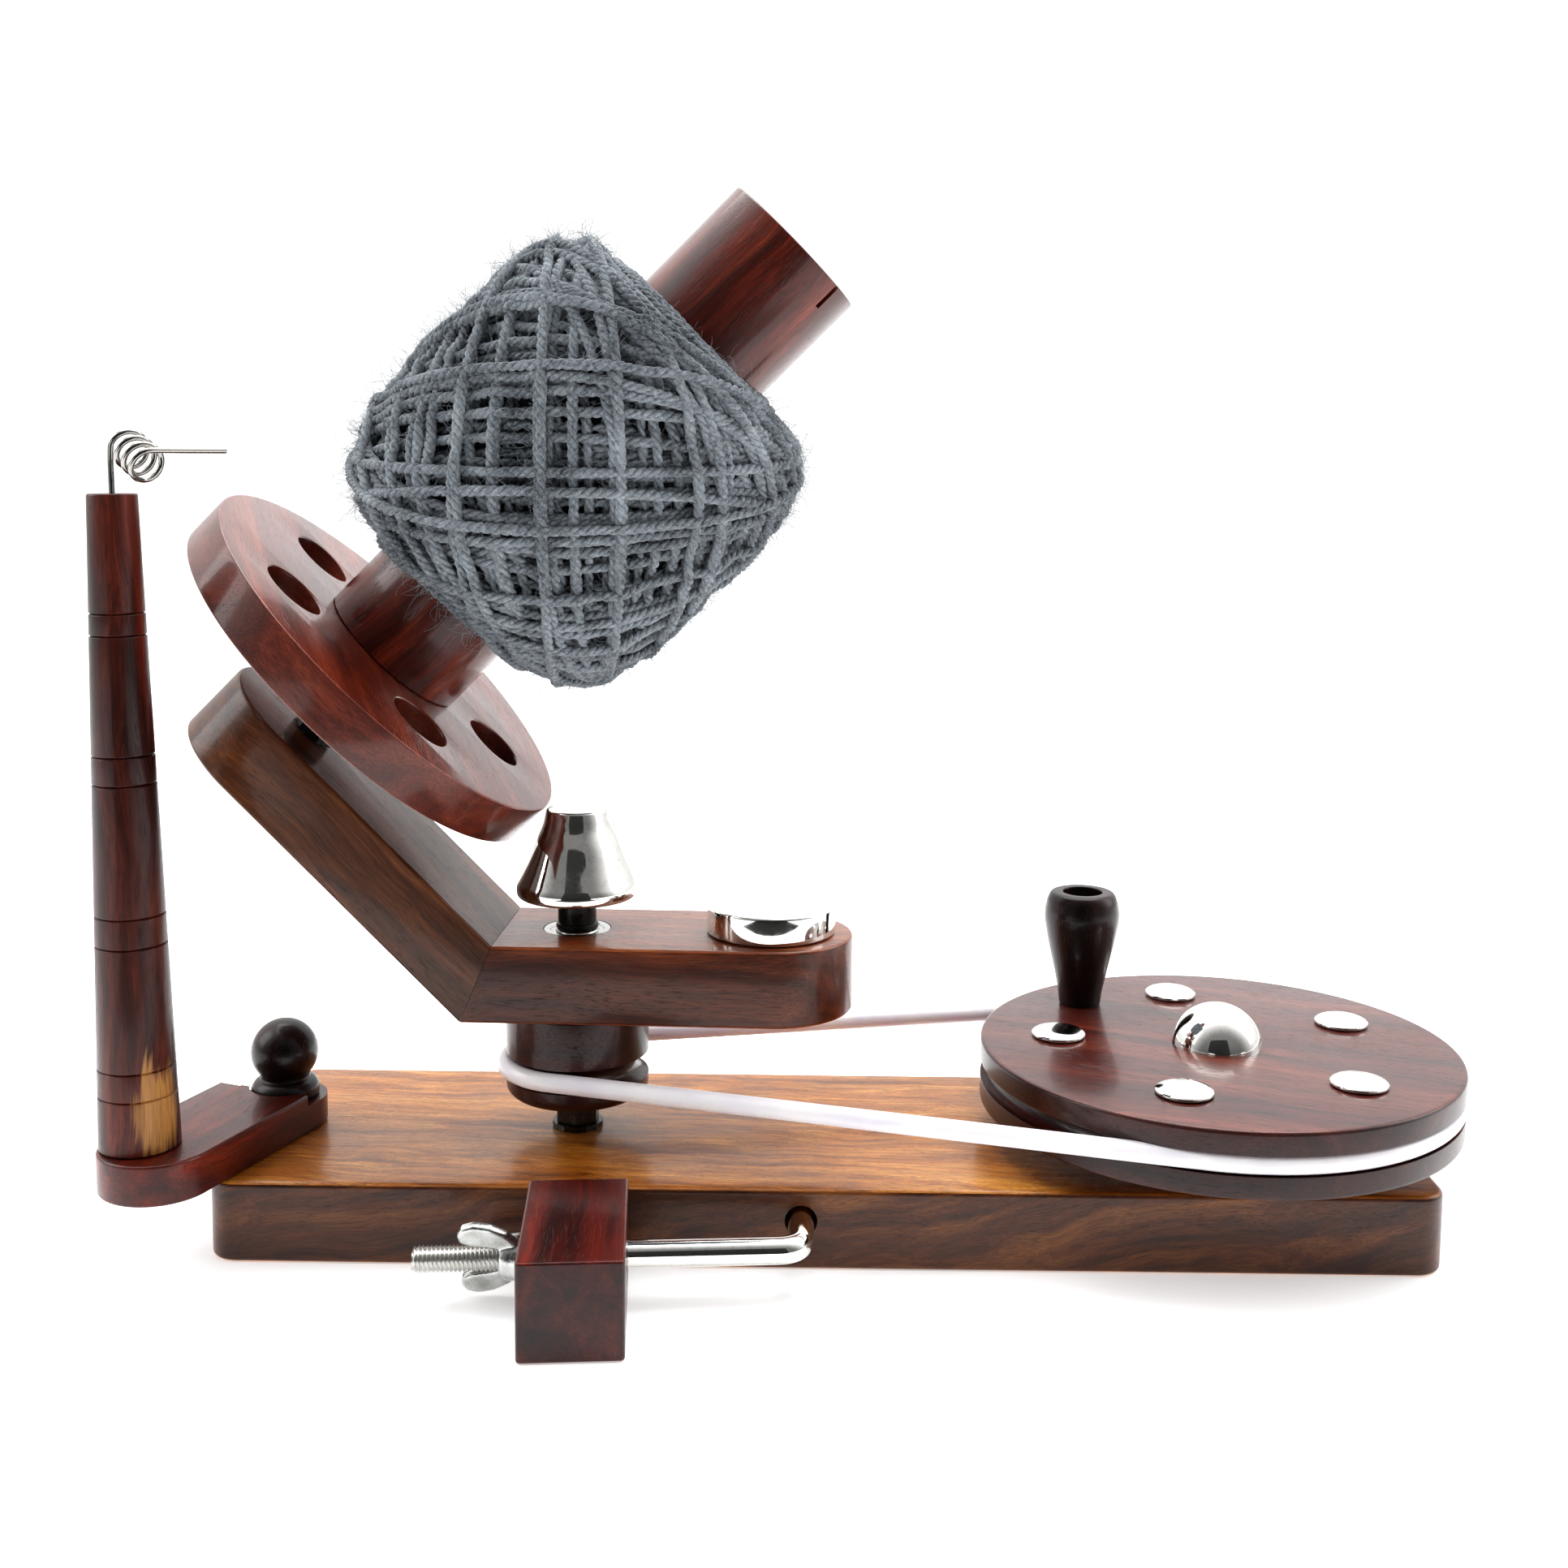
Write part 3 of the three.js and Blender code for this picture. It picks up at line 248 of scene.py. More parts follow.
def wood(name, dark, middle, light, turn=(0, 0, 0), shift=(0, 0, 0), figure=1.0, pores=0.6,
         streak=0.5, rough=0.34, coat=0.35, pale=None, pale_at=None, size=1.0):
    """Lacquered wood: wavy figure, dark streaks and open pores, all drawn out along the grain,
    which runs along X before the turn. Sizes are in metres."""
    n = Nodes(name)
    place = n.place((1 / size,) * 3, turn, shift)
    bend = n.add("ShaderNodeTexNoise", {"Vector": place, "Scale": 14.0, "Detail": 2.0})
    sway = (WAVE, WAVE * figure, WAVE * figure)
    wavy = n.vector("MULTIPLY_ADD", bend.outputs["Color"], sway, place)

    def drawn(along, across):
        return n.vector("MULTIPLY", wavy, (along, across, across))

    broad = n.noise(drawn(9, 90), 1.0, 4, 0.55, 0.6)
    bands = n.noise(drawn(11, 330), 1.0, 5, 0.6, 0.25)
    fine = n.noise(drawn(60, 1900), 1.0, 3, 0.6)
    pore = n.noise(drawn(190, 3300), 1.0, 2, 0.5)
    cloud = n.noise(place, 22.0, 3, 0.5)
    colour = n.ramp(n.grey(broad, 0.28, 0.72), [(0, rgb(dark)), (1, rgb(light)), (0.5, rgb(middle))])
    shade = n.ramp(n.grey(bands, 0.34, 0.66), [(0, (0.42, 0.36, 0.33)), (1, (1.2, 1.16, 1.1))])
    colour = n.mix(streak, colour, shade, "MULTIPLY")
    lines = n.ramp(n.grey(fine, 0.36, 0.64), [(0, (0.6, 0.55, 0.52)), (1, (1.18, 1.15, 1.1))])
    colour = n.mix(0.85, colour, lines, "MULTIPLY")
    soft = n.ramp(n.grey(cloud, 0.3, 0.7), [(0, (0.82, 0.8, 0.8)), (1, (1.15, 1.12, 1.1))])
    colour = n.mix(0.35, colour, soft, "MULTIPLY")
    pits = n.grey(pore, 0.60, 0.70)
    colour = n.mix(n.math("MULTIPLY", pits, pores), colour, rgb("150807"))
    if pale:
        spot, half = ([v * MM for v in part] for part in pale_at)
        local = n.vector("DIVIDE", n.vector("SUBTRACT", n.place(), spot), half)
        far = n.vector("LENGTH", local, out="Value")
        edge = n.math("ADD", far, n.grey(bands, 0.3, 0.7, -0.5, 0.5))
        colour = n.mix(n.grey(edge, 1.15, 0.75), colour, pale_wood(n, pale, fine))
    height = n.math("ADD", n.math("MULTIPLY", pits, -1.0), n.math("MULTIPLY", fine, 0.25))
    normal = n.bump(height, 0.05, 0.5)
    normal = n.bump(n.noise(place, 60.0, 2, 0.4), 0.12, 0.35, normal)
    gloss = n.math("ADD", n.grey(cloud, 0.3, 0.7, rough - 0.05, rough + 0.08), n.math("MULTIPLY", pits, 0.2))
    return n.finish(Base_Color=colour, Roughness=gloss, Normal=normal, Coat_Normal=normal,
                    Coat_Weight=coat, Coat_Roughness=0.12, Specular_IOR_Level=0.3)


def pale_wood(n, code, fine):
    lines = n.ramp(n.grey(fine, 0.35, 0.65), [(0, (0.6, 0.5, 0.4)), (1, (1.1, 1.1, 1.0))])
    return n.mix(0.8, rgb(code), lines, "MULTIPLY")


def metal(name, code, rough, streaks=0.0):
    """Plated metal, with the faint unevenness that bends its reflections."""
    n = Nodes(name)
    place = n.place()
    cloud = n.noise(place, 120.0, 3, 0.5)
    grime = n.noise(place, 420.0, 4, 0.7)
    colour = n.mix(n.grey(grime, 0.5, 0.8, 0.0, 0.35), rgb(code), rgb("8d8a84"))
    gloss = n.grey(grime, 0.35, 0.75, rough, rough + 0.1)
    normal = n.bump(cloud, 0.02, 0.6)
    if streaks:
        brushed = n.noise(n.place((60, 2500, 2500)), 1.0, 2)
        normal = n.bump(brushed, streaks, 0.5, normal)
    return n.finish(Base_Color=colour, Roughness=gloss, Normal=normal, Metallic=1.0)


def cast_metal(name):
    """Zinc-plated casting with a slightly pitted skin."""
    n = Nodes(name)
    place = n.place()
    pits = n.noise(place, 900.0, 4, 0.6)
    cloud = n.noise(place, 150.0, 3, 0.5)
    colour = n.mix(n.grey(cloud, 0.35, 0.7), rgb("d6d8d6"), rgb("a9aaa6"))
    normal = n.bump(pits, 0.08, 0.6, n.bump(cloud, 0.3, 0.4))
    gloss = n.grey(pits, 0.3, 0.7, 0.16, 0.34)
    return n.finish(Base_Color=colour, Roughness=gloss, Normal=normal, Metallic=1.0)


def blackened(name):
    n = Nodes(name)
    cloud = n.noise(n.place(), 300.0, 4, 0.6)
    colour = n.mix(n.grey(cloud, 0.35, 0.7), rgb("0b0b0c"), rgb("1c1c1e"))
    return n.finish(Base_Color=colour, Roughness=n.grey(cloud, 0.3, 0.7, 0.22, 0.4),
                    Normal=n.bump(cloud, 0.03, 0.5))


def belt_cord(name):
    """Milky urethane cord: light passes a little way into it."""
    n = Nodes(name)
    place = n.place()
    cloud = n.noise(place, 60.0, 3, 0.5)
    colour = n.mix(n.grey(cloud, 0.3, 0.7), rgb("f4f2f2"), rgb("e6e3ea"))
    return n.finish(Base_Color=colour, Roughness=n.grey(cloud, 0.3, 0.7, 0.28, 0.4),
                    Normal=n.bump(n.noise(place, 500.0, 2), 0.02, 0.5), Subsurface_Weight=0.6,
                    Subsurface_Radius=(1.0, 0.9, 1.1), Subsurface_Scale=0.003, Coat_Weight=0.3,
                    Coat_Roughness=0.15)


def wool(name, dark, light, sheen):
    """Yarn: cloudy and flecked, with a bump as fine as its fibres."""
    n = Nodes(name)
    place = n.place()
    cloud = n.noise(place, 45.0, 3, 0.6)
    flecks = n.noise(place, 900.0, 4, 0.7)
    fibres = n.noise(place, 2600.0, 3, 0.7)
    blend = n.math("ADD", n.math("MULTIPLY", cloud, 0.45), n.math("MULTIPLY", flecks, 0.55))
    colour = n.mix(n.grey(blend, 0.38, 0.62), rgb(dark), rgb(light))
    height = n.math("ADD", n.math("MULTIPLY", flecks, 0.6), n.math("MULTIPLY", fibres, 0.4))
    return n.finish(Base_Color=colour, Roughness=n.grey(fibres, 0.3, 0.7, 0.85, 1.0),
                    Normal=n.bump(height, 0.35, 0.8), Sheen_Weight=sheen, Sheen_Roughness=0.4,
                    Specular_IOR_Level=0.15)


def fibre(name, dark, light):
    n = Nodes(name)
    cloud = n.noise(n.place(), 80.0, 2)
    colour = n.mix(n.grey(cloud, 0.3, 0.7), rgb(dark), rgb(light))
    gloss = n.grey(cloud, 0.3, 0.7, 0.75, 0.95)
    return n.finish(Base_Color=colour, Roughness=gloss, Sheen_Weight=0.3)


ALONG_Z = (0, pi / 2, 0)
base_wood = wood("base_wood", "7c4715", "b87427", "dd9f4a", shift=(0.31, 0.2, 0.1), figure=1.8,
                 turn=(0, 0, 0.07), pores=0.6, streak=0.6, rough=0.3, size=0.6)
# The arm's sides: a darker copy of the top's wood, as painted shade.
arm_wood = wood("arm_wood", "35180d", "5c2c17", "7d4223", shift=(1.3, 0.7, 0.4), pores=0.5,
                streak=0.5)
incline_wood = wood("incline_wood", "2f1a0f", "553019", "754827", shift=(2.1, 0.3, 0.9), pores=0.5,
                    streak=0.55)
disc_wood = wood("disc_wood", "4c1d14", "74301f", "94472f", turn=(0, 0, 0.9), shift=(0.6, 1.1, 0.2),
                 pores=0.35, streak=0.4, rough=0.3, coat=0.7)
# The disc's rim: a darker copy of the disc's wood, as painted shade.
disc_side_shaded_wood = wood("disc_side_shaded_wood", "38140d", "5c2518", "743421", shift=(0.2, 0.9, 0.5),
                      pores=0.35, streak=0.4, coat=0.5)
# The base's upright faces: a darker copy of its top's wood, as painted shade.
base_side_shaded_wood = wood("base_side_shaded_wood", "2a1409", "5a3119", "805026", shift=(0.8, 0.3, 0.6), figure=1.8,
                      turn=(0, 0.15, 0), pores=0.4, streak=0.45, size=0.7)
# The arm's top: a lighter copy of the sides' wood, as painted light from above.
arm_top_wood = wood("arm_top_wood", "5a2a14", "8c4a26", "ad6536", shift=(1.3, 0.7, 0.4), pores=0.5,
                    streak=0.5, coat=0.6)
# The wheel's rim: a darker copy of the wheel's wood, as painted shade.
wheel_side_shaded_wood = wood("wheel_side_shaded_wood", "1c0a08", "321410", "46201a", turn=(0, 0, 0.35),
                       shift=(0.9, 0.1, 0.6), pores=0.6, streak=0.4)
# The clamp block's upright faces: a darker copy of its wood, as painted shade.
block_side_shaded_wood = wood("block_side_shaded_wood", "1a0705", "3c130d", "561f15", turn=(0, 0.5, pi / 2),
                       shift=(0.3, 0.8, 0.1), pores=0.5, streak=0.7)
tube_wood = wood("tube_wood", "2c0f0b", "591f13", "8a3a20", turn=ALONG_Z, shift=(0.2, 0.5, 1.7),
                 pores=0.6, streak=0.65, coat=0.6)
wheel_wood = wood("wheel_wood", "35130f", "57221b", "773a2c", turn=(0, 0, 0.35), shift=(0.9, 0.1, 0.6),
                  pores=0.9, streak=0.4, rough=0.32, coat=0.5)
pulley_wood = wood("pulley_wood", "1f0b08", "35130e", "4a1d15", shift=(1.1, 1.9, 0.3), pores=0.4)
post_wood = wood("post_wood", "170a07", "47190f", "6e2c1b", turn=ALONG_Z, shift=(0.45, 2.2, 0.8),
                 streak=0.9, figure=1.4, coat=0.2, rough=0.38, pale="a97a45",
                 pale_at=((8.5, -8.5, 52), (6.5, 8, 13)))
foot_wood = wood("foot_wood", "2b0d08", "54190f", "762a19", shift=(1.6, 0.4, 1.2), pores=0.5,
                 streak=0.5)
block_wood = wood("block_wood", "330b06", "64190d", "8a2b15", turn=(0, 0, pi / 2),
                  shift=(0.7, 0.2, 0.4), pores=0.5, streak=0.6)
dark_wood = wood("dark_wood", "0c0505", "1f0c0a", "341612", turn=ALONG_Z, shift=(0.3, 0.9, 0.2),
                 pores=0.3, streak=0.5, rough=0.34, coat=0.2)
chrome = metal("chrome", "e9e8e4", 0.03)
wire_metal = metal("wire_metal", "a3a19d", 0.06)
zinc = metal("zinc", "c4c5c3", 0.2, streaks=0.02)
# Painted shade: a darkened steel for the spindle nut and washer, which sit in shadow under the pulley.
shadowed_steel = metal("shadowed_steel", "4d4a46", 0.22)
thread_metal = metal("thread_metal", "d8d8d4", 0.3)
zinc_cast = cast_metal("zinc_cast")
black_steel = blackened("black_steel")
belt_material = belt_cord("belt_cord")
wool_top = wool("wool_top", "43484d", "9ea5ab", 0.25)
# Painted shade: the core under the yarn, coloured as the yarn's shadow deep in the cake, where the real cake
# is the same yarn throughout.
wool_core_shade = wool("wool_core_shade", "1f2226", "31353a", 0.0)
wool_fuzz = fibre("wool_fuzz", "5a6167", "8d959b")

# ---- Meshes ----


def placed(name, data):
    """A new object in the scene."""
    made = bpy.data.objects.new(name, data)
    SCENE.collection.objects.link(made)
    return made


def to_mesh(name, points, faces):
    mesh = bpy.data.meshes.new(name)
    mesh.from_pydata([tuple(p) for p in points], [], [tuple(f) for f in faces])
    mesh.update()
    return mesh


def outward(mesh):
    """Merges doubled points and turns every face outwards."""
    work = bmesh.new()
    work.from_mesh(mesh)
    bmesh.ops.remove_doubles(work, verts=work.verts, dist=1e-4)
    bmesh.ops.recalc_face_normals(work, faces=work.faces)
    work.to_mesh(mesh)
    work.free()
    return mesh


def fillet(outline, steps=4):
    """Rounds the corners of a section. A point is (radius, height) or (radius, height, rounding)."""
    count = len(outline)
    rounded = []
    for i, point in enumerate(outline):
        here = Vector(point[:2])
        rounding = point[2] if len(point) > 2 else 0
        if not rounding:
            rounded.append(tuple(here))
            continue
        before = Vector(outline[i - 1][:2]) - here
        after = Vector(outline[(i + 1) % count][:2]) - here
        reach = min(rounding, before.length / 2, after.length / 2)
        start, end = here + before.normalized() * reach, here + after.normalized() * reach
        for k in range(steps + 1):
            t = k / steps
            rounded.append(tuple(start * (1 - t) ** 2 + here * 2 * t * (1 - t) + end * t * t))
    return rounded


def lathe(name, outline, sides=96):
    """Turns a closed section about Z."""
    section = fillet(outline)
    angles = np.linspace(0, 2 * pi, sides, endpoint=False)
    points, rings = [], []
    for radius, height in section:
        if radius < 1e-6:
            rings.append([len(points)] * sides)
            points.append((0.0, 0.0, height))
        else:
            rings.append(list(range(len(points), len(points) + sides)))
            for a in angles:
                points.append((radius * cos(a), radius * sin(a), height))
    faces = []
    for i, ring in enumerate(rings):
        after = rings[(i + 1) % len(rings)]
        if ring[0] == ring[1] and after[0] == after[1]:
            continue
        for j in range(sides):
            k = (j + 1) % sides
            corners = [ring[j], ring[k], after[k], after[j]]
            faces.append([c for m, c in enumerate(corners) if c not in corners[:m]])
    return outward(to_mesh(name, points, faces))


def circle(radius, sides=64, x=0.0, y=0.0):
    angles = [2 * pi * i / sides for i in range(sides)]
    return [(x + radius * cos(a), y + radius * sin(a)) for a in angles]


def arc(x, y, radius, start, end, steps=24):
    angles = np.linspace(start, end, steps + 1)
    return [(x + radius * cos(a), y + radius * sin(a)) for a in angles]


def offset_contour(contour, distance):
    """Moves a closed contour sideways, to its right as it is walked."""
    moved = []
    for i, point in enumerate(contour):
        here = Vector(point)
        into = (here - Vector(contour[i - 1])).normalized()
        out = (Vector(contour[(i + 1) % len(contour)]) - here).normalized()
        normal = (Vector((into.y, -into.x)) + Vector((out.y, -out.x))).normalized()
        share = max(0.5, normal.dot(Vector((into.y, -into.x))))
        moved.append(tuple(here + normal * distance / share))
    return moved


def plate(name, outline, bottom, top, ease, holes=(), steps=4):
    """A flat board with eased edges. The outline runs anticlockwise and holes are circles."""
    contours = [outline] + [hole[::-1] for hole in holes]
    levels = []
    for k in range(steps + 1):
        angle = pi / 2 * k / steps
        levels.append((ease * (1 - sin(angle)), bottom + ease * (1 - cos(angle))))
    levels += [(inset, top + bottom - z) for inset, z in reversed(levels)]
    points, faces, first, last = [], [], [], []
    for contour in contours:
        rings = []
        for inset, z in levels:
            moved = offset_contour(contour, -inset)
            rings.append(range(len(points), len(points) + len(moved)))
            points += [(x, y, z) for x, y in moved]
        for low, high in zip(rings, rings[1:]):
            for j in range(len(low)):
                k = (j + 1) % len(low)
                faces.append((low[j], low[k], high[k], high[j]))
        first.append(rings[0])
        last.append(rings[-1])
    for caps in (first, last):
        order = [i for ring in caps for i in ring]
        polygons = [[Vector(points[i]) for i in ring] for ring in caps]
        faces += [[order[i] for i in triangle] for triangle in tessellate_polygon(polygons)]
    return outward(to_mesh(name, points, faces))


def cut_plane(mesh, point, normal):
    """Cuts away what lies on the normal's side of a plane, and closes the cut."""
    work = bmesh.new()
    work.from_mesh(mesh)
    everything = work.verts[:] + work.edges[:] + work.faces[:]
    cut = bmesh.ops.bisect_plane(work, geom=everything, plane_co=point, plane_no=normal, clear_outer=True)
    edges = [e for e in cut["geom_cut"] if isinstance(e, bmesh.types.BMEdge)]
    bmesh.ops.triangle_fill(work, edges=edges, use_beauty=True)
    bmesh.ops.recalc_face_normals(work, faces=work.faces)
    work.to_mesh(mesh)
    work.free()
    return mesh


def with_modifier(mesh, kind, **settings):
    """The mesh after one modifier, applied."""
    body = placed("work", mesh)
    modifier = body.modifiers.new("work", kind)
    for key, value in settings.items():
        setattr(modifier, key, value)
    graph = bpy.context.evaluated_depsgraph_get()
    made = bpy.data.meshes.new_from_object(body.evaluated_get(graph))
    bpy.data.objects.remove(body)
    return made


def carve(mesh, *cutters):
    """Takes each cutter mesh out of a mesh."""
    for cutter in cutters:
        tool = placed("cutter", cutter)
        mesh = with_modifier(mesh, "BOOLEAN", operation="DIFFERENCE", object=tool, solver="EXACT")
        bpy.data.objects.remove(tool)
    return mesh


def moved(mesh, matrix):
    mesh.transform(matrix)
    return mesh


def millimetres(x, y, z):
    return Matrix.Translation((x, y, z))


def cylinder(name, radius, bottom, top, sides=64):
    return lathe(name, [(0, bottom), (radius, bottom), (radius, top), (0, top)], sides)


def tube_faces(rings, sides, closed=False, start=0):
    """The faces between rings of points, capped at both ends unless the tube is closed."""
    faces = []
    for i in range(rings if closed else rings - 1):
        a, b = start + i * sides, start + (i + 1) % rings * sides
        faces += [(a + j, a + (j + 1) % sides, b + (j + 1) % sides, b + j) for j in range(sides)]
    if not closed:
        end = start + (rings - 1) * sides
        faces += [tuple(range(start, start + sides))[::-1], tuple(range(end, end + sides))]
    return faces


def rings_round(centres, out, side, thick, sides):
    """A ring of points round each centre, in the plane of two directions."""
    angles = np.linspace(0, 2 * pi, sides, endpoint=False)[None, :, None]
    rings = np.cos(angles) * out[:, None, :] + np.sin(angles) * side[:, None, :]
    return centres[:, None, :] + thick[:, None, None] * rings


def normalised(vectors):
    return vectors / np.linalg.norm(vectors, axis=1)[:, None]


def steps_round(path):
    """The way from each point's neighbour before to the one after, on a closed path."""
    return np.roll(path, -1, 0) - np.roll(path, 1, 0)


def sweep(name, path, radius, sides=16, closed=False, start_up=(0, 0, 1)):
    """A tube along a path of points."""
    path = np.array(path, float)
    tangents = normalised(steps_round(path) if closed else np.gradient(path, axis=0))
    up = np.array(start_up, float)
    points = []
    angles = np.linspace(0, 2 * pi, sides, endpoint=False)
    for here, along in zip(path, tangents):
        up = up - along * up.dot(along)
        up /= np.linalg.norm(up)
        side = np.cross(along, up)
        points.append(here + radius * (np.cos(angles)[:, None] * up + np.sin(angles)[:, None] * side))
    return outward(to_mesh(name, np.concatenate(points), tube_faces(len(path), sides, closed)))


def show(mesh, matrix, body, material, replaces=(), sharp=38):
    """Puts a millimetre mesh in its frame, on its body, in place of CAD nodes."""
    mesh.transform(Matrix.Scale(MM, 4))
    mesh.materials.clear()
    mesh.materials.append(material)
    mesh.shade_smooth()
    mesh.set_sharp_from_angle(angle=radians(sharp))
    piece = placed(mesh.name, mesh)
    piece.matrix_world = matrix
    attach(piece, body)
    if replaces:
        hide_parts(*replaces)
    return piece


def paint_side_shade(piece, material, limit=0.5):
    """Gives the upright faces of a board a second, darker material: painted shade, for the light that falls
    less on its sides than on its top.
    """
    piece.data.materials.append(material)
    for face in piece.data.polygons:
        if abs(face.normal.z) < limit:
            face.material_index = 1


def repaint(node, material):
    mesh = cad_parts[node].data
    mesh.materials.clear()
    mesh.materials.append(material)


# ---- Base and fixed spindle ----


def rounded_rectangle(length, width, corner, steps=12):
    x, y = length / 2 - corner, width / 2 - corner
    quarter = pi / 2
    places = [(x, -y, -quarter), (x, y, 0), (-x, y, quarter), (-x, -y, 2 * quarter)]
    return [p for cx, cy, start in places for p in arc(cx, cy, corner, start, start + quarter, steps)]


def make_base():
    outline = rounded_rectangle(BASE_LENGTH, BASE_WIDTH, BASE_CORNER)
    board = plate("base_plank", outline, 0, BASE_HEIGHT, 1.8, steps=5)
    cutters = []
    for x in (SPINDLE_X, WHEEL_X):
        cutters.append(moved(cylinder("cutter", 9, -1, 7), millimetres(x, 0, 0)))
    rod_hole = moved(cylinder("cutter", ROD_HOLE_R, -1, ROD_DEPTH + 2), turned_by(-pi / 2, "X"))
    cutters.append(moved(rod_hole, millimetres(ROD_X, -BASE_WIDTH / 2, ROD_Z)))
    cutters.append(moved(cylinder("cutter", 3.3, 8, BASE_HEIGHT + 1), millimetres(KNOB_X, KNOB_Y, 0)))
    piece = show(carve(board, *cutters), WORLD, "base", base_wood, ["base_board"])
    # Painted shade: the base's upright faces take the darker side wood.
    paint_side_shade(piece, base_side_shaded_wood)


def make_spindle():
    sleeve_bottom = BAR_TOP + GAP
    sleeve = [(BOLT_HOLE_R, sleeve_bottom), (SLEEVE_R + 0.6, sleeve_bottom, 0.3),
              (SLEEVE_R + 0.6, sleeve_bottom + 1.6, 0.3), (SLEEVE_R, sleeve_bottom + 1.9),
              (SLEEVE_R, SLEEVE_TOP), (BOLT_HOLE_R, SLEEVE_TOP)]
    show(lathe("sleeve", sleeve), SPINDLE, "base", black_steel, ["spacer_sleeve"])
    cone = [(0, CONE_TOP), (CONE_TOP_R, CONE_TOP, 0.9), (11.2, 127.5, 2), (13.6, 122.5, 2),
            (16.2, 116, 2), (18.4, 111, 2), (20, 107.4, 2), (19.6, 104.4, 1.5), (18, CONE_BOTTOM, 0.8),
            (12, CONE_BOTTOM), (10, 107), (BOLT_HOLE_R, 107), (BOLT_HOLE_R, 126.3), (0, 126.3)]
    show(lathe("cone", cone, 128), SPINDLE, "base", chrome, ["friction_cone"], 50)


# ---- Winding arm ----


def capsule(start, reach):
    side = 1 if reach > 0 else -1
    centre = reach - side * ARM_HALF
    points = [(start, -side * ARM_HALF)]
    points += arc(centre, 0, ARM_HALF, -side * pi / 2, (2 - side) * pi / 2, 40)
    return points + [(start, side * ARM_HALF)]


def ring_outline(outer, inner, bottom, top, rounding=0.4):
    corners = [(inner, bottom), (outer, bottom), (outer, top), (inner, top)]
    return [(*corner, rounding) for corner in corners]


def make_bearing(name, radius, bottom, width, matrix, body, node):
    """The two races and the shield between them."""
    races = [(BOLT_HOLE_R, bottom, 0.3), (radius, bottom, 0.4), (radius, bottom + width, 0.4),
             (radius - 2.0, bottom + width, 0.3), (radius - 2.4, bottom + width - 0.6),
             (7.2, bottom + width - 0.6), (6.8, bottom + width, 0.3), (BOLT_HOLE_R, bottom + width, 0.3)]
    show(lathe(name, races), matrix, body, zinc, [node])


def make_arm():
    half_mitre = tan(LEAN / 2) * ARM_THICKNESS / 2
    middle = Vector((MITRE_X - half_mitre, 0, (BAR_TOP + BAR_BOTTOM) / 2))
    across = Vector((cos(LEAN / 2), 0, -sin(LEAN / 2)))
    bar = plate("bar", capsule(-50, BAR_REACH), BAR_BOTTOM, BAR_TOP, 1.1)
    bar = cut_plane(bar, middle + across * 0.06, -across)
    seat = cylinder("cutter", 11.15, BAR_TOP - 7.3, BAR_TOP + 1)
    bore = cylinder("cutter", 5, BAR_BOTTOM - 1, BAR_TOP + 1)
    head = moved(cylinder("cutter", 5, BAR_BOTTOM - 1, BAR_BOTTOM + 5), millimetres(WEIGHT_X, 0, 0))
    bar = carve(bar, seat, bore, head)
    piece = show(bar, ARM, "winding_arm", arm_top_wood, ["yoke_bar"])
    # Painted shade: the bar's upright faces take the darker side wood.
    paint_side_shade(piece, arm_wood)

    lean = turned_by(LEAN, "Y")
    board = plate("incline", capsule(0, -INCLINE_REACH), INCLINE_BOTTOM, INCLINE_TOP, 1.1)
    board = cut_plane(board, lean.inverted() @ (middle - across * 0.06), lean.inverted().to_3x3() @ across)
    recess = cylinder("cutter", 9, INCLINE_BOTTOM - 1, INCLINE_BOTTOM + 7)
    hole = cylinder("cutter", BOLT_HOLE_R, INCLINE_BOTTOM - 1, INCLINE_TOP + 1)
    board = carve(board, *(moved(c, millimetres(-BOBBIN_U, 0, 0)) for c in (recess, hole)))
    show(board, INCLINE, "winding_arm", incline_wood, ["leaning_board"])

    make_bearing("bearing_top", 11, BAR_TOP - 7, 7, ARM, "winding_arm", "arm_bearing")
    rim = PULLEY_R
    pulley = [(5, PULLEY_BOTTOM), (rim - 2.6, PULLEY_BOTTOM, 1.5), (rim, PULLEY_BOTTOM + 2.4, 1.5),
              *arc(rim, PULLEY_BELT_Z, GROOVE_R, -pi / 2, -1.5 * pi, 10),
              (rim, BAR_BOTTOM - GAP, 0.5), (5, BAR_BOTTOM - GAP)]
    show(lathe("pulley", pulley), ARM, "winding_arm", pulley_wood, ["drive_pulley"])

    bottom = BAR_TOP + GAP
    top = bottom + WEIGHT_HEIGHT
    weight = [(0, top), (WEIGHT_R, top, 0.9), (WEIGHT_R, bottom, 0.9), (0, bottom)]
    place = ARM @ at(WEIGHT_X, 0, 0)
    show(lathe("weight", weight, 128), place, "winding_arm", chrome, ["counterweight"], 50)


# ---- Bobbin ----


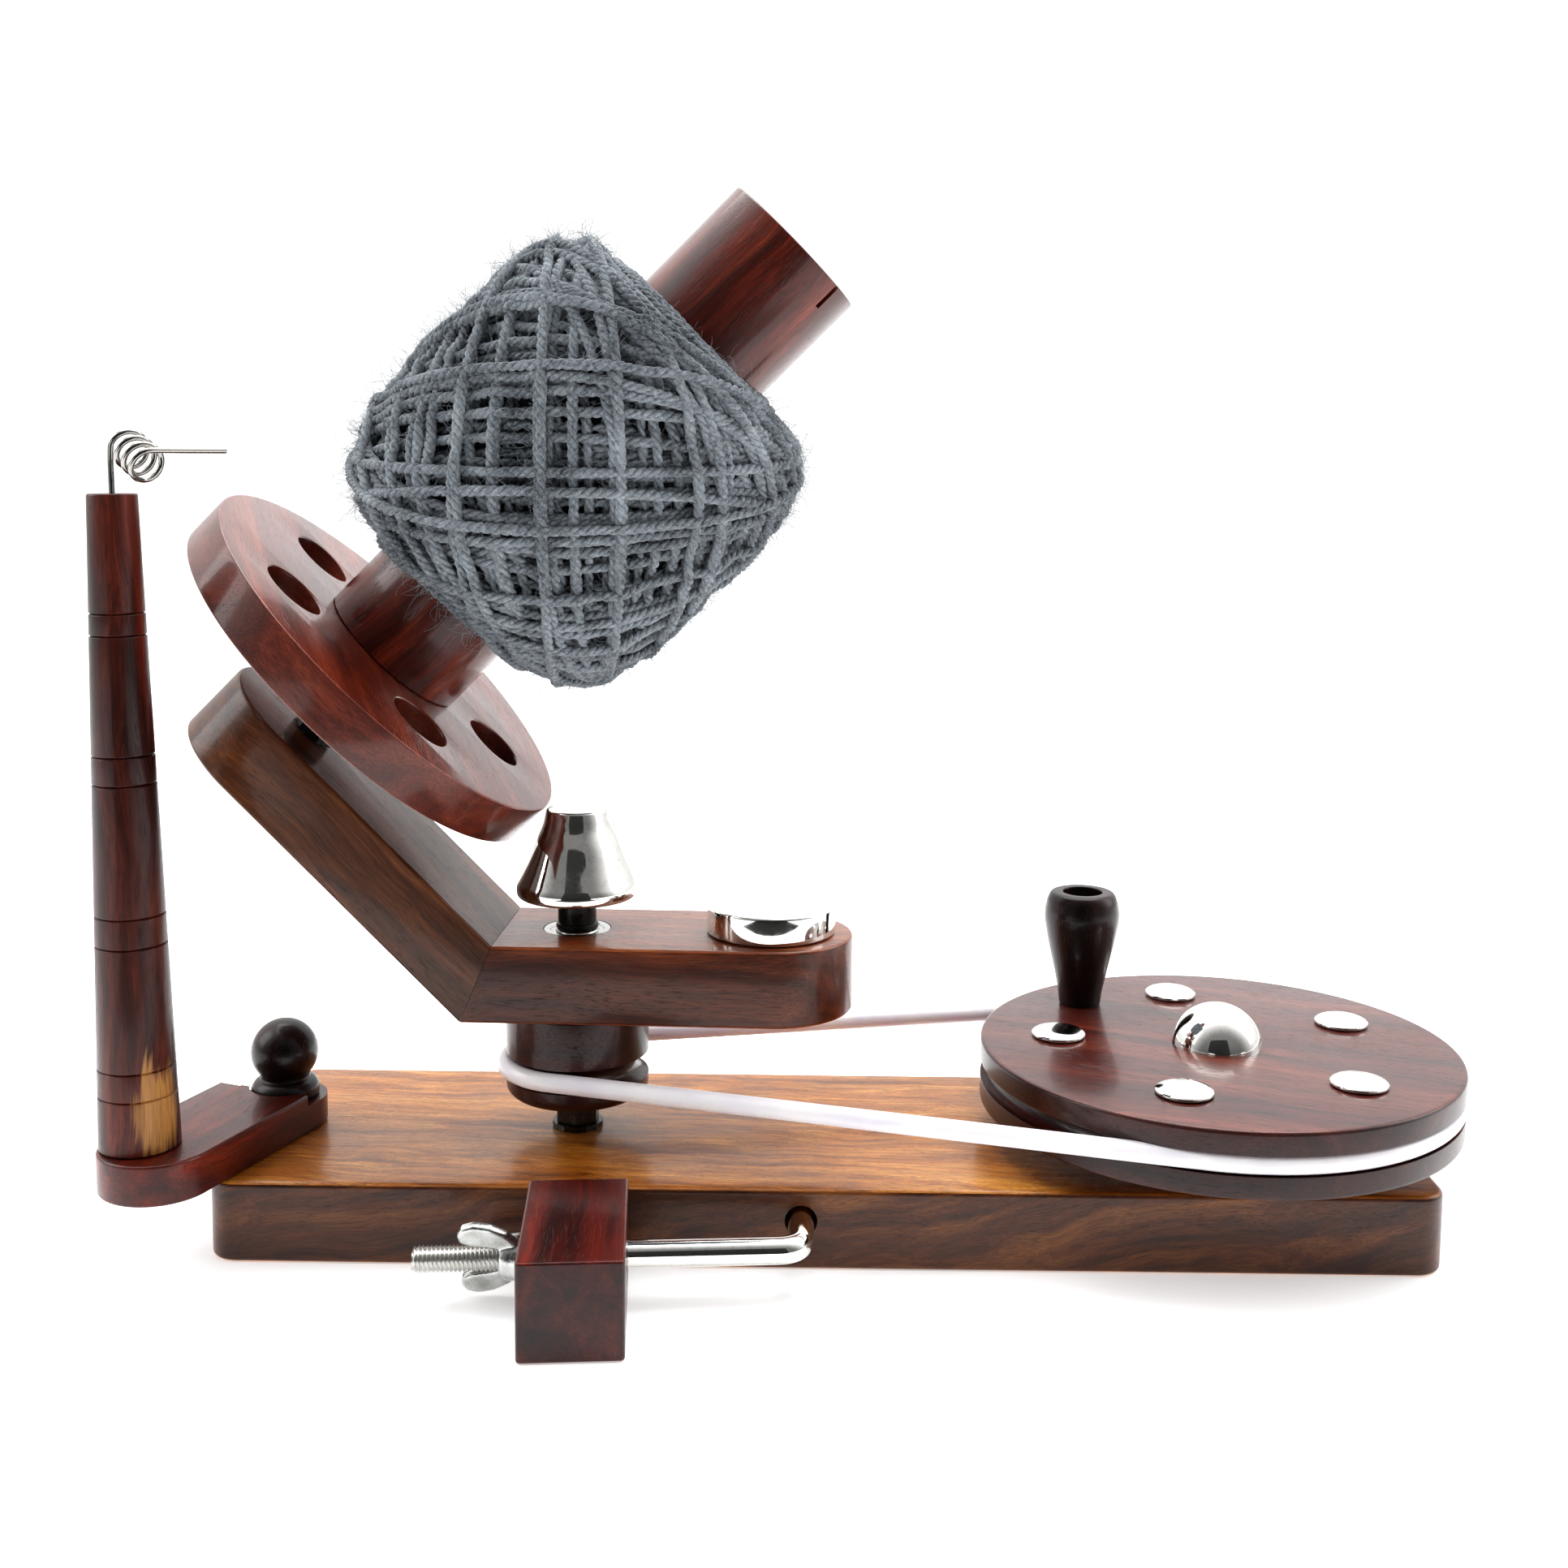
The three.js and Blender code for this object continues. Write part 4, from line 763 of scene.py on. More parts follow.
def make_bobbin():
    low = INCLINE_TOP + GAP
    nut = plate("jam_nut", circle(7.5, 6), low, low + 8, 0.2, steps=1)
    show(nut, BOBBIN, "winding_arm", black_steel, ["bobbin_jam_nut"])
    low = INCLINE_TOP + 8 + 2 * GAP
    washer = lathe("jam_washer", ring_outline(8.5, BOLT_HOLE_R, low, low + 3, 0.6))
    show(washer, BOBBIN, "winding_arm", chrome, ["bobbin_washer"])
    bush = lathe("bush", ring_outline(SLEEVE_R, BOLT_HOLE_R, low + 3 + GAP, DISC_BOTTOM - GAP))
    show(bush, BOBBIN, "winding_arm", black_steel, ["bobbin_bush"])

    holes = []
    for angle in DISC_HOLE_ANGLES:
        x, y = polar(DISC_HOLE_CIRCLE, pi + radians(angle))
        holes.append(circle(DISC_HOLE_R, 64, x, y))
    disc = plate("disc", circle(DISC_R, 192), DISC_BOTTOM, DISC_TOP, 0.7, holes)
    disc = carve(disc, cylinder("cutter", 11.3, DISC_BOTTOM - 1, DISC_BOTTOM + 7.6))
    piece = show(disc, BOBBIN, "bobbin", disc_wood, ["bobbin_disc"])
    # Painted shade: the disc's rim takes the darker side wood.
    paint_side_shade(piece, disc_side_shaded_wood)
    make_bearing("bearing_disc", 11, DISC_BOTTOM + GAP, 7, BOBBIN, "bobbin", "disc_bearing")

    low = DISC_TOP + GAP
    tube = [(9, low), (TUBE_R, low, 0.3), (TUBE_R, TUBE_END, 0.6), (CAP_R + GAP, TUBE_END, 0.4),
            (CAP_R + GAP, CAP_BOTTOM - GAP), (11.3, CAP_BOTTOM - GAP), (11.3, 249.7), (9, 249.7)]
    body = lathe("tube", tube, 128)
    slit_outline = [(17, -0.8), (27, -0.8), (27, 0.8), (17, 0.8)]
    slit = plate("cutter", slit_outline, TUBE_END - 9, TUBE_END + 2, 0.05, steps=1)
    body = carve(body, moved(slit, turned_by(TUBE_SLIT_ANGLE, "Z")))
    show(body, BOBBIN, "bobbin", tube_wood, ["bobbin_tube"])
    cap = [(0, TUBE_END + 0.9), (CAP_R * 0.7, TUBE_END + 0.6, 2), (CAP_R, TUBE_END - 0.2, 0.8),
           (CAP_R, CAP_BOTTOM), (0, CAP_BOTTOM)]
    show(lathe("end_cap", cap), BOBBIN, "bobbin", black_steel, ["tube_end_cap"])


# ---- Yarn cake ----

CAKE_HALF = (CAKE_TOP - CAKE_BOTTOM) / 2
CAKE_MIDDLE = (CAKE_TOP + CAKE_BOTTOM) / 2 + 2.2
CAKE_ROUND = 3.7
YARN_R = 1.6
TURN_STEP = radians(49.36)
TURNS = 132
FINE_TURNS = 66
LAYER_TURNS, LAYER_DEPTH = 22, 2.1
LAST_TURN = radians(206)
TWIST_LENGTH, PLY_SHARE = 8.6, 0.56
END_DEPTH, END_STEP = 4.2, 2.9
CORE_DEPTH = 10.0
FIBRES, FUZZY_TURNS = 26000, 50
UPPER_PARTS, LOWER_PARTS, FUZZ_PARTS = 8, 2, 6


def cake_radius(directions):
    """The distance from the cake's middle to its skin, a rounded barrel, along unit directions."""
    across = np.hypot(directions[:, 0], directions[:, 1]) / (CAKE_R - 0.4)
    along = np.abs(directions[:, 2]) / CAKE_HALF
    return (across**CAKE_ROUND + along**CAKE_ROUND) ** (-1 / CAKE_ROUND)


def wind_turn(turn, shift, samples):
    """One turn of yarn: the cut of a plane at 45 degrees to the axis through the cake's skin."""
    normal = np.array([cos(turn) * sin(LEAN), sin(turn) * sin(LEAN), cos(LEAN)])
    first = np.cross(normal, [0, 0, 1])
    first /= np.linalg.norm(first)
    second = np.cross(normal, first)
    angles = np.linspace(0, 2 * pi, samples, endpoint=False)
    rays = np.cos(angles)[:, None] * first + np.sin(angles)[:, None] * second
    low, high = np.zeros(samples), np.full(samples, 130.0)
    for _ in range(28):
        half = (low + high) / 2
        spots = normal * shift + rays * half[:, None]
        far = np.linalg.norm(spots, axis=1)
        inside = far < cake_radius(spots / far[:, None])
        low, high = np.where(inside, half, low), np.where(inside, high, half)
    return normal * shift + rays * low[:, None], normal


def wind_cake():
    """Lays turn on turn. Each keeps to its layer's depth, but climbs over what it crosses.

    Heights are measured from the cake's skin, and those of the yarn's surface are kept on a map.
    """
    random = np.random.default_rng(SEED)
    rows, columns = 260, 480
    surface = np.full((rows, columns), -30.0)

    def cells(points):
        unit = points / np.linalg.norm(points, axis=1)[:, None]
        row = (np.arccos(np.clip(unit[:, 2], -1, 1)) / pi * (rows - 1)).astype(int)
        column = ((np.arctan2(unit[:, 1], unit[:, 0]) / (2 * pi) + 0.5) * columns).astype(int) % columns
        return row, column

    turns = []
    samples = 420
    for i in range(TURNS):
        back = TURNS - 1 - i
        turn = LAST_TURN - back * TURN_STEP + random.normal(0, 0.035)
        shift = float(np.clip(random.normal(0, 6.5), -20, 20))
        if i % 9 == 4:
            shift *= 2.2
        if back == 0:
            turn, shift = LAST_TURN, 0.0
        skin, normal = wind_turn(turn, shift, samples)
        far = np.linalg.norm(skin, axis=1)
        unit = skin / far[:, None]
        bottom = -LAYER_DEPTH * back / LAYER_TURNS + (0.5 if back == 0 else 0)
        rest = np.full(samples, -30.0)
        for aside in (-1.0, -0.5, 0.0, 0.5, 1.0):
            rest = np.maximum(rest, surface[cells(skin + normal * aside)])
        lay = np.clip(rest + 0.5 * YARN_R, bottom, bottom + 2.3)
        taut = lay.copy()
        for _ in range(26):
            taut = np.maximum(lay, (np.roll(taut, 1) + np.roll(taut, -1)) / 2 - 0.012)
        taut = (np.roll(taut, 1) + taut * 2 + np.roll(taut, -1)) / 4
        turns.append((unit * (far - YARN_R + taut)[:, None], normal, unit))
        for aside in np.linspace(-YARN_R, YARN_R, 9):
            rise = taut + YARN_R * sqrt(max(0, 1 - (aside / YARN_R) ** 2))
            for part in (skin, (skin + np.roll(skin, -1, 0)) / 2):
                np.maximum.at(surface, cells(part + normal * aside), rise)
    return turns


def resample(path, count):
    """Evenly spaced points on a closed path."""
    around = np.vstack([path, path[:1]])
    lengths = np.concatenate([[0], np.cumsum(np.linalg.norm(np.diff(around, axis=0), axis=1))])
    wanted = np.linspace(0, lengths[-1], count, endpoint=False)
    return np.stack([np.interp(wanted, lengths, around[:, k]) for k in range(3)], 1), lengths[-1]


def plied(path, normals, length, plies, sides, random):
    """The points of each ply of a twisted yarn, as closed tubes: (points, rings, sides)."""
    count = len(path)
    twists = round(length / TWIST_LENGTH)
    along = normalised(steps_round(path))
    up = normalised(normals - along * (normals * along).sum(1)[:, None])
    side = np.cross(along, up)
    share = np.arange(count) / count * 2 * pi
    swell = 1 + 0.07 * np.sin(share * 9 + random.uniform(0, 6))
    swell = swell + 0.06 * np.sin(share * 23 + random.uniform(0, 6))
    wander = 0.25 * np.sin(share * 5 + random.uniform(0, 6))
    tubes = []
    for ply in range(plies):
        turn = -twists * share + 2 * pi * ply / plies + wander
        offset = YARN_R * 0.5 * swell
        centre = path + offset[:, None] * (np.cos(turn)[:, None] * up + np.sin(turn)[:, None] * side)
        ahead = normalised(steps_round(centre))
        out = normalised(up - ahead * (up * ahead).sum(1)[:, None])
        thick = YARN_R * PLY_SHARE * swell * (1 + 0.05 * random.standard_normal(count))
        tubes.append(rings_round(centre, out, np.cross(ahead, out), thick, sides))
    return tubes


def tubes_mesh(name, tubes):
    """One mesh of many closed tubes."""
    points, faces, start = [], [], 0
    for tube in tubes:
        rings, sides, _ = tube.shape
        index = start + np.arange(rings * sides).reshape(rings, sides)
        ahead, beside = np.roll(index, -1, 0), np.roll(index, -1, 1)
        both = np.roll(ahead, -1, 1)
        faces.append(np.stack([index, beside, both, ahead], -1).reshape(-1, 4))
        points.append(tube.reshape(-1, 3))
        start += rings * sides
    points, faces = np.concatenate(points), np.concatenate(faces)
    mesh = bpy.data.meshes.new(name)
    mesh.vertices.add(len(points))
    mesh.vertices.foreach_set("co", points.ravel())
    mesh.loops.add(faces.size)
    mesh.loops.foreach_set("vertex_index", faces.ravel())
    mesh.polygons.add(len(faces))
    mesh.polygons.foreach_set("loop_start", np.arange(0, faces.size, 4))
    mesh.polygons.foreach_set("loop_total", np.full(len(faces), 4))
    mesh.update(calc_edges=True)
    mesh.validate()
    return mesh


def make_fuzz(turns, random):
    """Loose fibres that stand off the yarn: many short ones and a few long curls."""
    fibres = []
    segments = 6
    top = turns[-FUZZY_TURNS:]
    for _ in range(FIBRES):
        path, normal, unit = top[int(len(top) * random.uniform() ** 0.6) % len(top)]
        i = random.integers(len(path))
        out = unit[i]
        along = path[(i + 1) % len(path)] - path[i]
        along /= np.linalg.norm(along)
        kind = random.uniform()
        long = kind < 0.15
        reach = random.uniform(7, 15) if long else random.uniform(1.2, 3 if kind < 0.7 else 6.5)
        heading = out * random.uniform(0.1, 1.0) + along * random.normal(0, 0.9)
        heading += normal * random.normal(0, 0.8)
        heading /= np.linalg.norm(heading)
        curl = random.normal(0, 1, 3)
        curl *= random.uniform(0.5, 4.0) / np.linalg.norm(curl) / segments
        here = path[i] + out * YARN_R * random.uniform(0.2, 0.9) + normal * random.normal(0, 0.7)
        spots = [here]
        for _ in range(segments):
            heading = heading + np.cross(curl, heading) + random.normal(0, 0.09, 3)
            heading /= np.linalg.norm(heading)
            here = here + heading * reach / segments
            spots.append(here)
        spots = np.array(spots)
        ahead = normalised(np.gradient(spots, axis=0))
        first = np.cross(ahead, curl / np.linalg.norm(curl))
        first /= np.maximum(1e-6, np.linalg.norm(first, axis=1))[:, None]
        thick = (0.06 if long else 0.065) * np.linspace(1, 0.4, len(spots))
        fibres.append(rings_round(spots, first, np.cross(ahead, first), thick, 3))
    return fibres


def fibres_mesh(name, fibres):
    points = np.concatenate([f.reshape(-1, 3) for f in fibres])
    faces, start = [], 0
    for f in fibres:
        rings, sides, _ = f.shape
        faces += tube_faces(rings, sides, start=start)
        start += rings * sides
    return to_mesh(name, points.tolist(), faces)


def wind_ends(random):
    """Rings of yarn round the tube on both ends, where the slanting turns leave the cake bare."""
    tubes = []
    for end in (-1, 1):
        for radius in np.arange(TUBE_R + 2.4, 50, END_STEP):
            angles = np.linspace(0, 2 * pi, 400, endpoint=False)
            aside = random.normal(0, 0.35, 2) * (radius > TUBE_R + 4)
            height = CAKE_HALF * (1 - (radius / (CAKE_R - 0.4)) ** CAKE_ROUND) ** (1 / CAKE_ROUND)
            lean = 0.5 * np.sin(angles + random.uniform(0, 6))
            lean = lean + 0.3 * np.sin(3 * angles + random.uniform(0, 6))
            path = np.stack([radius * np.cos(angles) + aside[0], radius * np.sin(angles) + aside[1],
                             end * (height - END_DEPTH + lean)], 1)
            even, length = resample(path, 220)
            tubes += plied(even, normalised(even), length, 3, 6, random)
    return tubes


def make_cake():
    random = np.random.default_rng(SEED + 1)
    turns = wind_cake()
    place = BOBBIN @ at(0, 0, CAKE_MIDDLE)
    upper, lower = [], []
    for i, (path, _, _) in enumerate(turns):
        fine = i >= TURNS - FINE_TURNS
        count = 380 if fine else 220
        even, length = resample(path, count)
        group = upper if fine else lower
        plies, sides = (3, 6) if fine else (2, 5)
        group.append(plied(even, normalised(even), length, plies, sides, random))
    for name, layer, parts in (("upper", upper, UPPER_PARTS), ("lower", lower, LOWER_PARTS)):
        for k in range(parts):
            chosen = [tube for group in layer[k::parts] for tube in group]
            mesh = tubes_mesh(f"yarn_{name}_{k + 1}", chosen)
            first = name == "upper" and k == 0
            show(mesh, place, "cake", wool_top, ["yarn_cake"] if first else (), 180)
    show(tubes_mesh("yarn_ends", wind_ends(random)), place, "cake", wool_top, (), 180)
    # A lathed core under the turns, in the dark core wool, fills the gaps between strands with painted
    # shade.
    profile = [(TUBE_R + 0.4, -CAKE_HALF + CORE_DEPTH)]
    for angle in np.linspace(-pi / 2, pi / 2, 40):
        direction = np.array([[cos(angle), 0, sin(angle)]])
        far = cake_radius(direction)[0] - CORE_DEPTH
        if far * cos(angle) > TUBE_R + 1:
            profile.append((far * cos(angle), far * sin(angle)))
    profile.append((TUBE_R + 0.4, CAKE_HALF - CORE_DEPTH))
    show(lathe("yarn_core", profile, 160), place, "cake", wool_core_shade, (), 60)
    fibres = make_fuzz(turns, random)
    for k in range(FUZZ_PARTS):
        mesh = fibres_mesh(f"yarn_fuzz_{k + 1}", fibres[k::FUZZ_PARTS])
        show(mesh, place, "cake", wool_fuzz, (), 180)


# ---- Crank wheel ----


def make_wheel():
    rim = WHEEL_R
    depth = WHEEL_R - WHEEL_BELT_R
    reach = sqrt(GROOVE_R**2 - depth**2)
    start = acos(depth / GROOVE_R)
    groove = arc(WHEEL_BELT_R, WHEEL_BELT_Z, GROOVE_R, -start, start - 2 * pi, 12)
    wheel = [(5, WHEEL_BOTTOM), (rim, WHEEL_BOTTOM, 1.4), (rim, WHEEL_BELT_Z - reach, 0.3), *groove[1:-1],
             (rim, WHEEL_BELT_Z + reach, 0.3), (rim, WHEEL_TOP, 1.4), (5, WHEEL_TOP)]
    piece = show(lathe("wheel", wheel, 192), WHEEL, "crank_wheel", wheel_wood, ["drive_wheel"])
    # Painted shade: the wheel's rim takes the darker side wood.
    paint_side_shade(piece, wheel_side_shaded_wood, 0.8)

    steps = 18
    low = WHEEL_TOP - 1.5
    high = 1.5 + DOME_HEIGHT
    arcs = [polar(1, pi / 2 * i / steps) for i in range(steps + 1)]
    dome = [(DOME_R * c, low + high * s) for c, s in arcs[:-1]] + [(0, low + high), (0, low + high - 1)]
    dome += [((DOME_R - 1) * c, low + (high - 1) * s) for c, s in arcs[-2::-1]]
    show(lathe("dome", dome, 96), WHEEL, "crank_wheel", chrome, ["dome_cap"], 60)
    for i, angle in enumerate(STUD_ANGLES):
        place = WHEEL @ at(*polar(STUD_CIRCLE, radians(angle)), WHEEL_TOP + GAP)
        name = f"stud_cap_{i + 1}"
        show(stud_mesh(f"stud_{i + 1}"), place, "crank_wheel", chrome, [name], 25)

    top = WHEEL_TOP + HANDLE_HEIGHT
    bottom = WHEEL_TOP + GAP
    handle = [(3.3, bottom), (7.2, bottom, 0.6), (7.6, bottom + 4, 2), (9.2, bottom + 12, 5),
              (11.6, bottom + 22, 5), (13, bottom + 30, 4), (13.1, top - 7, 3), (12.2, top - 2.5, 2),
              (10.8, top, 1.2), (6.8, top, 0.5), (6.8, top - 9), (3.3, top - 9)]
    show(lathe("handle_grip", handle, 96), HANDLE, "handle", dark_wood, ["crank_handle"], 60)


def stud_mesh(name):
    """A low chrome stud with a bevelled, faintly faceted edge."""
    outline = [(0, -8), (3, -8), (3, 0), (STUD_R - 0.3, 0, 0.2), (STUD_R, 0.5, 0.2)]
    steps = 10
    for i in range(1, steps):
        angle = pi / 2 * i / steps
        outline.append((STUD_R * cos(angle), 0.6 + (STUD_HEIGHT - 0.6) * sin(angle)))
    return lathe(name, [*outline, (0, STUD_HEIGHT)], 72)


# ---- Drive belt ----


def belt_path():
    distance = WHEEL_X - SPINDLE_X
    slant = asin((WHEEL_BELT_R - PULLEY_R) / distance)
    path = []
    rounds = [(SPINDLE_X, PULLEY_R, PULLEY_BELT_Z, pi / 2 + slant, pi - 2 * slant, 40),
              (WHEEL_X, WHEEL_BELT_R, WHEEL_BELT_Z, -pi / 2 - slant, pi + 2 * slant, 100)]
    for x, radius, z, start, swing, steps in rounds:
        bend = [(*point, z) for point in arc(x, 0, radius, start, start + swing, steps)]
        if path:
            path += straight(path[-1], bend[0], 24)
        path += bend
    path += straight(path[-1], path[0], 24)
    return path


def straight(start, end, steps):
    start, end = np.array(start), np.array(end)
    return [tuple(start + (end - start) * i / steps) for i in range(1, steps)]


def make_belt():
    belt = sweep("belt", belt_path(), BELT_R, 24, closed=True)
    show(belt, WORLD, "base", belt_material, ["drive_belt"], 180)


# ---- Yarn guide ----


def make_guide():
    low, high = FOOT_MIDDLE_Y - FOOT_HALF_WIDTH, FOOT_MIDDLE_Y + FOOT_HALF_WIDTH
    end = arc(FOOT_LENGTH, FOOT_MIDDLE_Y, FOOT_HALF_WIDTH, -pi / 2, pi / 2, 32)
    edge = arc(0, 0, TONGUE_R, pi / 2, 1.5 * pi, 28)
    outline = [(FOOT_SHOULDER, low), *end, *edge, (FOOT_SHOULDER, -TONGUE_R)]
    foot = plate("foot", outline, FOOT_BOTTOM, FOOT_TOP, 0.9)
    step = plate("cutter", [(-60, -60), (FOOT_SHOULDER, -60), (FOOT_SHOULDER, 60), (-60, 60)],
                 TONGUE_TOP, TONGUE_TOP + 30, 0.01, steps=1)
    collar = cylinder("cutter", KNOB_COLLAR_R + 0.6, TONGUE_TOP, FOOT_TOP + 1)
    stud = cylinder("cutter", 3.6, FOOT_BOTTOM - 1, FOOT_TOP + 1)
    show(carve(foot, step, collar, stud), FOOT, "yarn_guide", foot_wood, ["guide_foot"])

    bottom = TONGUE_TOP + GAP
    knob = [(3.3, bottom), (KNOB_COLLAR_R, bottom, 0.8), (KNOB_COLLAR_R, bottom + 3.4, 1),
            (9.6, bottom + 5.4, 1), (KNOB_NECK_R, bottom + 6.2, 0.6)]
    steps = 28
    neck = -acos(KNOB_NECK_R / KNOB_BALL_R)
    for i in range(1, steps):
        radius, height = polar(KNOB_BALL_R, neck + (pi / 2 - neck) * i / steps)
        knob.append((radius, KNOB_BALL_Z + height))
    knob += [(0, KNOB_BALL_Z + KNOB_BALL_R), (0, KNOB_BALL_Z + GAP), (3.3, KNOB_BALL_Z + GAP)]
    show(lathe("knob_ball", knob, 96), KNOB, "knob", dark_wood, ["guide_knob"], 50)
    make_post()


def make_post():
    bottom = FOOT_TOP + GAP

    def radius_at(z):
        return POST_BOTTOM_R + (z - bottom) / (POST_TOP - bottom) * (POST_TOP_R - POST_BOTTOM_R)

    post = [(0, bottom), (POST_BOTTOM_R, bottom, 0.5)]
    for z in POST_RINGS:
        post += [(radius_at(z - 0.4), z - 0.4, 0.1), (radius_at(z) - 0.55, z),
                 (radius_at(z + 0.4), z + 0.4, 0.1)]
    post += [(POST_TOP_R, POST_TOP, 0.7), (POST_RECESS_R, POST_TOP, 0.3), (1.2, POST_TOP - 2.5),
             (1.2, POST_TOP - 14), (0, POST_TOP - 14)]
    show(lathe("post", post, 96), POST, "yarn_guide", post_wood, ["guide_post"], 50)
    wire = sweep("wire", wire_path(), WIRE_R, 20, start_up=(1, 0, 0))
    show(wire, POST, "wire", wire_metal, ["wire_guide"], 60)


def wire_path():
    forward = Vector((1, 0, 0))
    forward.rotate(turned_by(COIL_DROP, "Y"))
    forward.rotate(turned_by(COIL_TURN, "Z"))
    across = Vector((-forward.y, forward.x, 0)).normalized()
    up = forward.cross(across)
    centre = Vector((0, 0, COIL_Z)) + across * COIL_R
    rise = np.linspace(POST_TOP - WIRE_FOOT, COIL_Z - 5, 10)
    points = [Vector((0, 0, z)) for z in rise]
    steps = round(COIL_TURNS * 48)
    for i in range(steps + 1):
        angle = pi - 2 * pi * i / 48
        points.append(centre + forward * (COIL_PITCH * i / 48) + across * (COIL_R * cos(angle))
                      + up * (COIL_R * sin(angle)))
    last = points[-1]
    points += [last + across * (WIRE_TAIL * i / 12) for i in range(1, 13)]
    path = np.array([tuple(p) for p in points])
    for _ in range(3):
        path[1:-1] = (path[:-2] + 2 * path[1:-1] + path[2:]) / 4
    return path


# ---- Table clamp ----


def make_clamp():
    length, depth, height = BLOCK_SIZE
    low = GAP - ROD_Z
    block = plate("block", rounded_rectangle(length, depth, 1.2, 4), low, low + height, 0.8)
    block = moved(block, millimetres(-BLOCK_ALONG, BLOCK_OFFSET, 0))
    bore = moved(cylinder("cutter", 4.6, -200, 200), turned_by(pi / 2, "Y"))
    piece = show(carve(block, bore), LEG, "block", block_wood, ["clamp_block"])
    # Painted shade: the block's upright faces take the darker side wood.
    paint_side_shade(piece, block_side_shaded_wood)

    leg = Vector((-cos(ROD_YAW), -sin(ROD_YAW), 0))
    inner = Vector((0, ROD_OFFSET - BASE_WIDTH / 2 + ROD_DEPTH, 0))
    start, end = Vector((0, ROD_BEND, 0)), leg * ROD_BEND
    path = [inner + (start - inner) * i / 8 for i in range(8)]
    for i in range(17):
        t = i / 16
        path.append(start * (1 - t) ** 2 + end * t * t)
    thread_start = leg * (ROD_LENGTH - THREAD_LENGTH)
    path += [end + (thread_start - end) * i / 10 for i in range(1, 11)]
    rod = sweep("rod", [tuple(p) for p in path], ROD_R, 40)
    show(rod, CLAMP, "clamp", chrome, ["clamp_rod"], 60)
    thread = moved(thread_mesh("rod_thread", THREAD_LENGTH), turned_by(-pi / 2, "Y"))
    place = LEG @ at(-(ROD_LENGTH - THREAD_LENGTH), 0, 0)
    show(thread, place, "clamp", thread_metal, (), 60)
    show(wing_nut_mesh(), NUT, "nut", zinc_cast, ["wing_nut"], 180)


def thread_mesh(name, length, pitch=1.25, sides=40, per_turn=6):
    """A rolled thread: its crest runs round the rod as a helix."""
    rows = int(length / pitch * per_turn)
    points = []
    for i in range(rows + 1):
        z = length * i / rows
        end = min(1.0, (length - z) / 1.2)
        for j in range(sides):
            phase = (z / pitch - j / sides) % 1
            depth = 0.8 * abs(2 * phase - 1)
            radius = (ROD_R - depth) * (0.86 + 0.14 * end)
            angle = 2 * pi * j / sides
            points.append((radius * cos(angle), radius * sin(angle), z))
    return to_mesh(name, points, tube_faces(rows + 1, sides))


def wing_nut_mesh():
    """A cast wing nut: hub and wings melted together."""
    hub = lathe("hub", [(0, 0), (6.9, 0, 0.5), (6.4, 5, 1), (5.4, 6.8, 0.8), (0, 6.8)], 64)
    wing = [(0.8, 3), (5.5, 4.3), (10, 5.4), (15, 6.2), (17.8, 8), (18.4, 11), (17, 13.8), (13.5, 15),
            (8.5, 13.8), (4, 10.8), (1.2, 7)]
    flat = plate("wing", wing, -1.6, 1.6, 1.1)
    stand = turned_by(-pi / 2, "Y") @ turned_by(pi / 2, "X")
    upper = moved(flat.copy(), stand)
    lower = moved(upper.copy(), turned_by(pi, "Z"))
    work = bmesh.new()
    for part in (hub, upper, lower):
        work.from_mesh(part)
    joined = bpy.data.meshes.new("wings")
    work.to_mesh(joined)
    work.free()
    joined = with_modifier(joined, "REMESH", mode="VOXEL", voxel_size=0.4)
    joined = with_modifier(joined, "SMOOTH", factor=0.6, iterations=6)
    joined = carve(joined, cylinder("cutter", 4.2, -2, 20, 48))
    joined.name = "wing_nut_cast"
    return moved(joined, turned_by(-pi / 2, "Y"))


# ---- Hidden and carried-over pieces ----


def repaint_hidden():
    steels = """spindle_bolt pulley_bearing counterweight_screw bobbin_spindle tube_bearing
        bobbin_end_nut wheel_axle wheel_spacer axle_nut wheel_bearing_lower wheel_bearing_upper
        handle_bolt handle_nut knob_stud post_screw"""
    # The spindle's nut and washer get the darkened steel as painted shade.
    groups = (("spindle_washer spindle_nut", shadowed_steel), (steels, zinc),
              ("mitre_dowel_front mitre_dowel_rear", dark_wood))
    for nodes, material in groups:
        for node in nodes.split():
            repaint(node, material)


# ---- Floor and light ----


